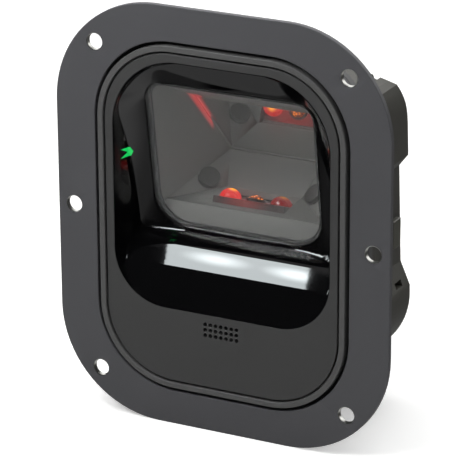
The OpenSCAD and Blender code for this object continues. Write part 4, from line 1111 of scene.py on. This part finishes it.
class SCANNER_OT_chamber(bpy.types.Operator):
    """Moulded funnel behind the window, its port caps and the fold mirror"""

    bl_idname = "scanner.chamber"
    bl_label = "Light Chamber"
    bl_options = {"REGISTER", "UNDO"}

    def execute(self, context):
        colours = context.scene.scanner_colours
        # The funnel carries the painted red light on its left wall
        eased_node("light_chamber", 0.35 * MM, chamber_plastic_painted_red_light(colours))
        # Polyethylene caps: darker and a little smoother than the funnel
        caps = moulded("dark_cap_plastic", linear(0x2C2A27), rough=0.45)
        for name in ("port_cap_left", "port_cap_right"):
            eased_node(name, 0.3 * MM, caps)
        dress(silvered_glass(), "fold_mirror")
        # Spring steel, bright rolled
        dress(zinc_plate("spring_steel", linear(0x9A9C9E)), "mirror_bracket")
        return {"FINISHED"}


class SCANNER_OT_engine(bpy.types.Operator):
    """Scan engine: body, boards, lens in its barrel and the red illumination lenses"""

    bl_idname = "scanner.engine"
    bl_label = "Scan Engine"
    bl_options = {"REGISTER", "UNDO"}

    def execute(self, context):
        at, s, c = chosen(context)
        top = -s.engine_top
        # Glass-filled nylon, dark red-brown, with red light from the lenses painted on near them as a
        # glow
        body = moulded("black_engine_nylon_painted_red_glow", linear(0x2A1512), rough=0.4)
        # Painted light: emission near the lenses stands for their red light on the body
        lit_near(body, at.engine @ Vector((-2 * MM, 2 * MM, 1 * MM)), (4 * MM, 15 * MM),
                 (c.red, linear(0x701010)), (0.3, 0.0))
        eased_node("engine_chassis", 0.2 * MM, body)
        self.illumination(at, s, top)
        self.imaging(at, s, top)
        dress(circuit_board(), "engine_board", "main_board", "pointer_board_left",
              "pointer_board_right")
        # Moulded epoxy of chip packages: charcoal, smooth and dull
        dress(moulded("epoxy_package", linear(0x222326), rough=0.4), "image_sensor", "processor")
        # Polyimide film of a flat cable: amber, smooth, slightly wavy
        film = grained(finish("polyimide_film", linear(0xB56A2A), roughness=0.3, ior=1.6),
                       2 * MM, 0.01 * MM)
        dress(film, "engine_flex")
        # Zinc-plated steel
        dress(zinc_plate("zinc_plated_screws", linear(0xB8B8BA)), "engine_screws",
              "chamber_screws", "board_screws")
        return {"FINISHED"}

    def illumination(self, at, s, top):
        """Domed red lenses; the left one is lit and the right one mostly passes its glow on."""
        r, tall, seat = s.led / 2 + 0.4 * MM, 3.2 * MM, top - s.led_seat
        profile = np.concatenate([[(0, seat), (r, seat), (r, top)], dome(r, top, tall, 13)])
        for side, name, gain in ((-1, "led_lens_left", 1.0), (1, "led_lens_right", 0.25)):
            # Painted highlight: the lens's hot spot sits at the top of its dome
            spot = Vector((side * s.led_x + 0.8 * MM, -0.6 * MM, top + tall))
            lens = red_lens(name, at.engine @ spot, gain)
            rings = placed(lathe(profile), at.engine @ Matrix.Translation((side * s.led_x, 0, 0)))
            piece(name, mesh_of([shell(rings, capped=False)]), lens)

    def imaging(self, at, s, top):
        """Stepped lens barrel, and the imaging lens domed over its seat."""
        bore, seat_r = s.barrel / 2 - 1.2 * MM, s.barrel / 2 - 0.7 * MM
        foot, rim, seat = -5.6 * MM, top + 1 * MM, top - 1.2 * MM
        corners = [(bore, foot), (s.barrel / 2, foot), (s.barrel / 2, rim), (seat_r, rim),
                   (seat_r, seat), (bore, seat)]
        rings = placed(lathe(eased(corners, 0.12 * MM)), at.engine)
        # Black anodised aluminium: its dyed layer hides the metal, so it looks dark and dull
        black = moulded("black_anodised_barrel", linear(0x1A1010), rough=0.35)
        piece("lens_barrel", mesh_of([shell(rings, loop=True)]), black)
        r, edge, tall = seat_r - 0.04 * MM, top + 0.6 * MM, 1.6 * MM
        profile = np.concatenate([[(0, seat), (r, seat), (r, edge)], dome(r, edge, tall, 11)])
        rings = placed(lathe(profile), at.engine)
        # The scan lens carries painted glow and painted reflections of the LEDs
        piece("scan_lens", mesh_of([shell(rings, capped=False)]), coated_glass_painted_glints())


class SCANNER_OT_inside(bpy.types.Operator):
    """Seals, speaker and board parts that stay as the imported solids, with their finishes"""

    bl_idname = "scanner.inside"
    bl_label = "Inner Parts"
    bl_options = {"REGISTER", "UNDO"}

    def execute(self, context):
        # Nitrile rubber: black and dull, with a faint skin
        rubber = grained(finish("black_rubber", linear(0x141414), roughness=0.8, ior=1.52),
                         0.5 * MM, 0.02 * MM)
        dress(rubber, "flange_gasket", "housing_seal")
        # Open-cell polyurethane foam: 0.6 mm pores, with no gloss
        foam = grained(finish("cell_foam", linear(0x202020), roughness=0.95, ior=1.45),
                       0.6 * MM, 0.15 * MM, shade=0.3)
        dress(foam, "window_seal", "speaker_gasket")
        dress(woven_cloth(), "speaker_mesh")
        # Tinplate: grey metal, drawn and unpolished
        dress(zinc_plate("speaker_tinplate", linear(0x6B6E70)), "speaker", "shield_can")
        # Natural nylon: ivory, with a satin face
        dress(moulded("nylon_connector", linear(0xD8D4C4), rough=0.45), "board_connectors")
        return {"FINISHED"}


class SCANNER_OT_housing(bpy.types.Operator):
    """Rear shell with its ears, the latch tabs and the cable socket"""

    bl_idname = "scanner.housing"
    bl_label = "Rear Housing"
    bl_options = {"REGISTER", "UNDO"}

    def execute(self, context):
        colours = context.scene.scanner_colours
        # ABS with a coarse grain: darker and duller than the face
        mat = moulded("coarse_grained_abs", colours.housing, grain=0.9, height=0.03, shade=0.1)
        eased_node("rear_housing", 0.5 * MM, mat)
        # Acetal: a little lighter and smoother, as springy tabs are
        tabs = moulded("latch_acetal", linear(0x4C4B44), rough=0.4)
        for name in ("side_latch_left", "side_latch_right"):
            eased_node(name, 0.4 * MM, tabs)
        # Glass-filled nylon: near black, satin
        socket = moulded("socket_nylon", linear(0x17181A), rough=0.45)
        eased_node("cable_socket", 0.2 * MM, socket)
        return {"FINISHED"}


class SCANNER_OT_screws(bpy.types.Operator):
    """Round-headed screws in the flange lugs and the rear housing"""

    bl_idname = "scanner.screws"
    bl_label = "Screws"
    bl_options = {"REGISTER", "UNDO"}

    def execute(self, context):
        # Zinc-plated steel
        dress(zinc_plate("bright_zinc_screws", linear(0xB8B8BA)), "flange_screws", "rear_screws")
        return {"FINISHED"}


class SCANNER_OT_stage(bpy.types.Operator):
    """Pale floor, soft lamps, white background and the camera at the photograph's angle"""

    bl_idname = "scanner.stage"
    bl_label = "Studio and Camera"
    bl_options = {"REGISTER", "UNDO"}

    def execute(self, context):
        scene = context.scene
        scene.view_settings.view_transform = "Standard"
        paper_floor()
        room(scene)
        softbox(layout(scene.scanner_sizes))
        for name, place, size, power in LAMPS:
            lamp(name, place, size, power)
        camera(scene)
        return {"FINISHED"}


class SCANNER_PT_panel(bpy.types.Panel):
    """Lists the pieces in the order in which they are made, then their sizes and colours"""

    bl_label = "Barcode Scanner"
    bl_space_type = "VIEW_3D"
    bl_region_type = "UI"
    bl_category = "Scanner"

    def draw(self, context):
        column = self.layout.column()
        for operator in OPERATORS:
            column.operator(operator.bl_idname)
        for group in (context.scene.scanner_sizes, context.scene.scanner_colours):
            box = self.layout.box()
            for key in group.__annotations__:
                box.prop(group, key)


OPERATORS = (
    SCANNER_OT_flange,
    SCANNER_OT_bezel,
    SCANNER_OT_cover,
    SCANNER_OT_visor,
    SCANNER_OT_pointer_lights,
    SCANNER_OT_window,
    SCANNER_OT_chamber,
    SCANNER_OT_engine,
    SCANNER_OT_inside,
    SCANNER_OT_housing,
    SCANNER_OT_screws,
    SCANNER_OT_stage,
)
CLASSES = (ScannerSizes, ScannerColours, *OPERATORS, SCANNER_PT_panel)


def register():
    """Makes the add-on's classes and the scene's settings known to Blender."""
    for cls in CLASSES:
        bpy.utils.register_class(cls)
    bpy.types.Scene.scanner_sizes = PointerProperty(type=ScannerSizes)
    bpy.types.Scene.scanner_colours = PointerProperty(type=ScannerColours)


def unregister():
    """Takes them away again, in reverse order."""
    del bpy.types.Scene.scanner_colours
    del bpy.types.Scene.scanner_sizes
    for cls in reversed(CLASSES):
        bpy.utils.unregister_class(cls)


def main():
    """Makes every piece and the studio."""
    register()
    for operator in OPERATORS:
        group, name = operator.bl_idname.split(".")
        getattr(getattr(bpy.ops, group), name)()


if __name__ == "__main__":
    main()
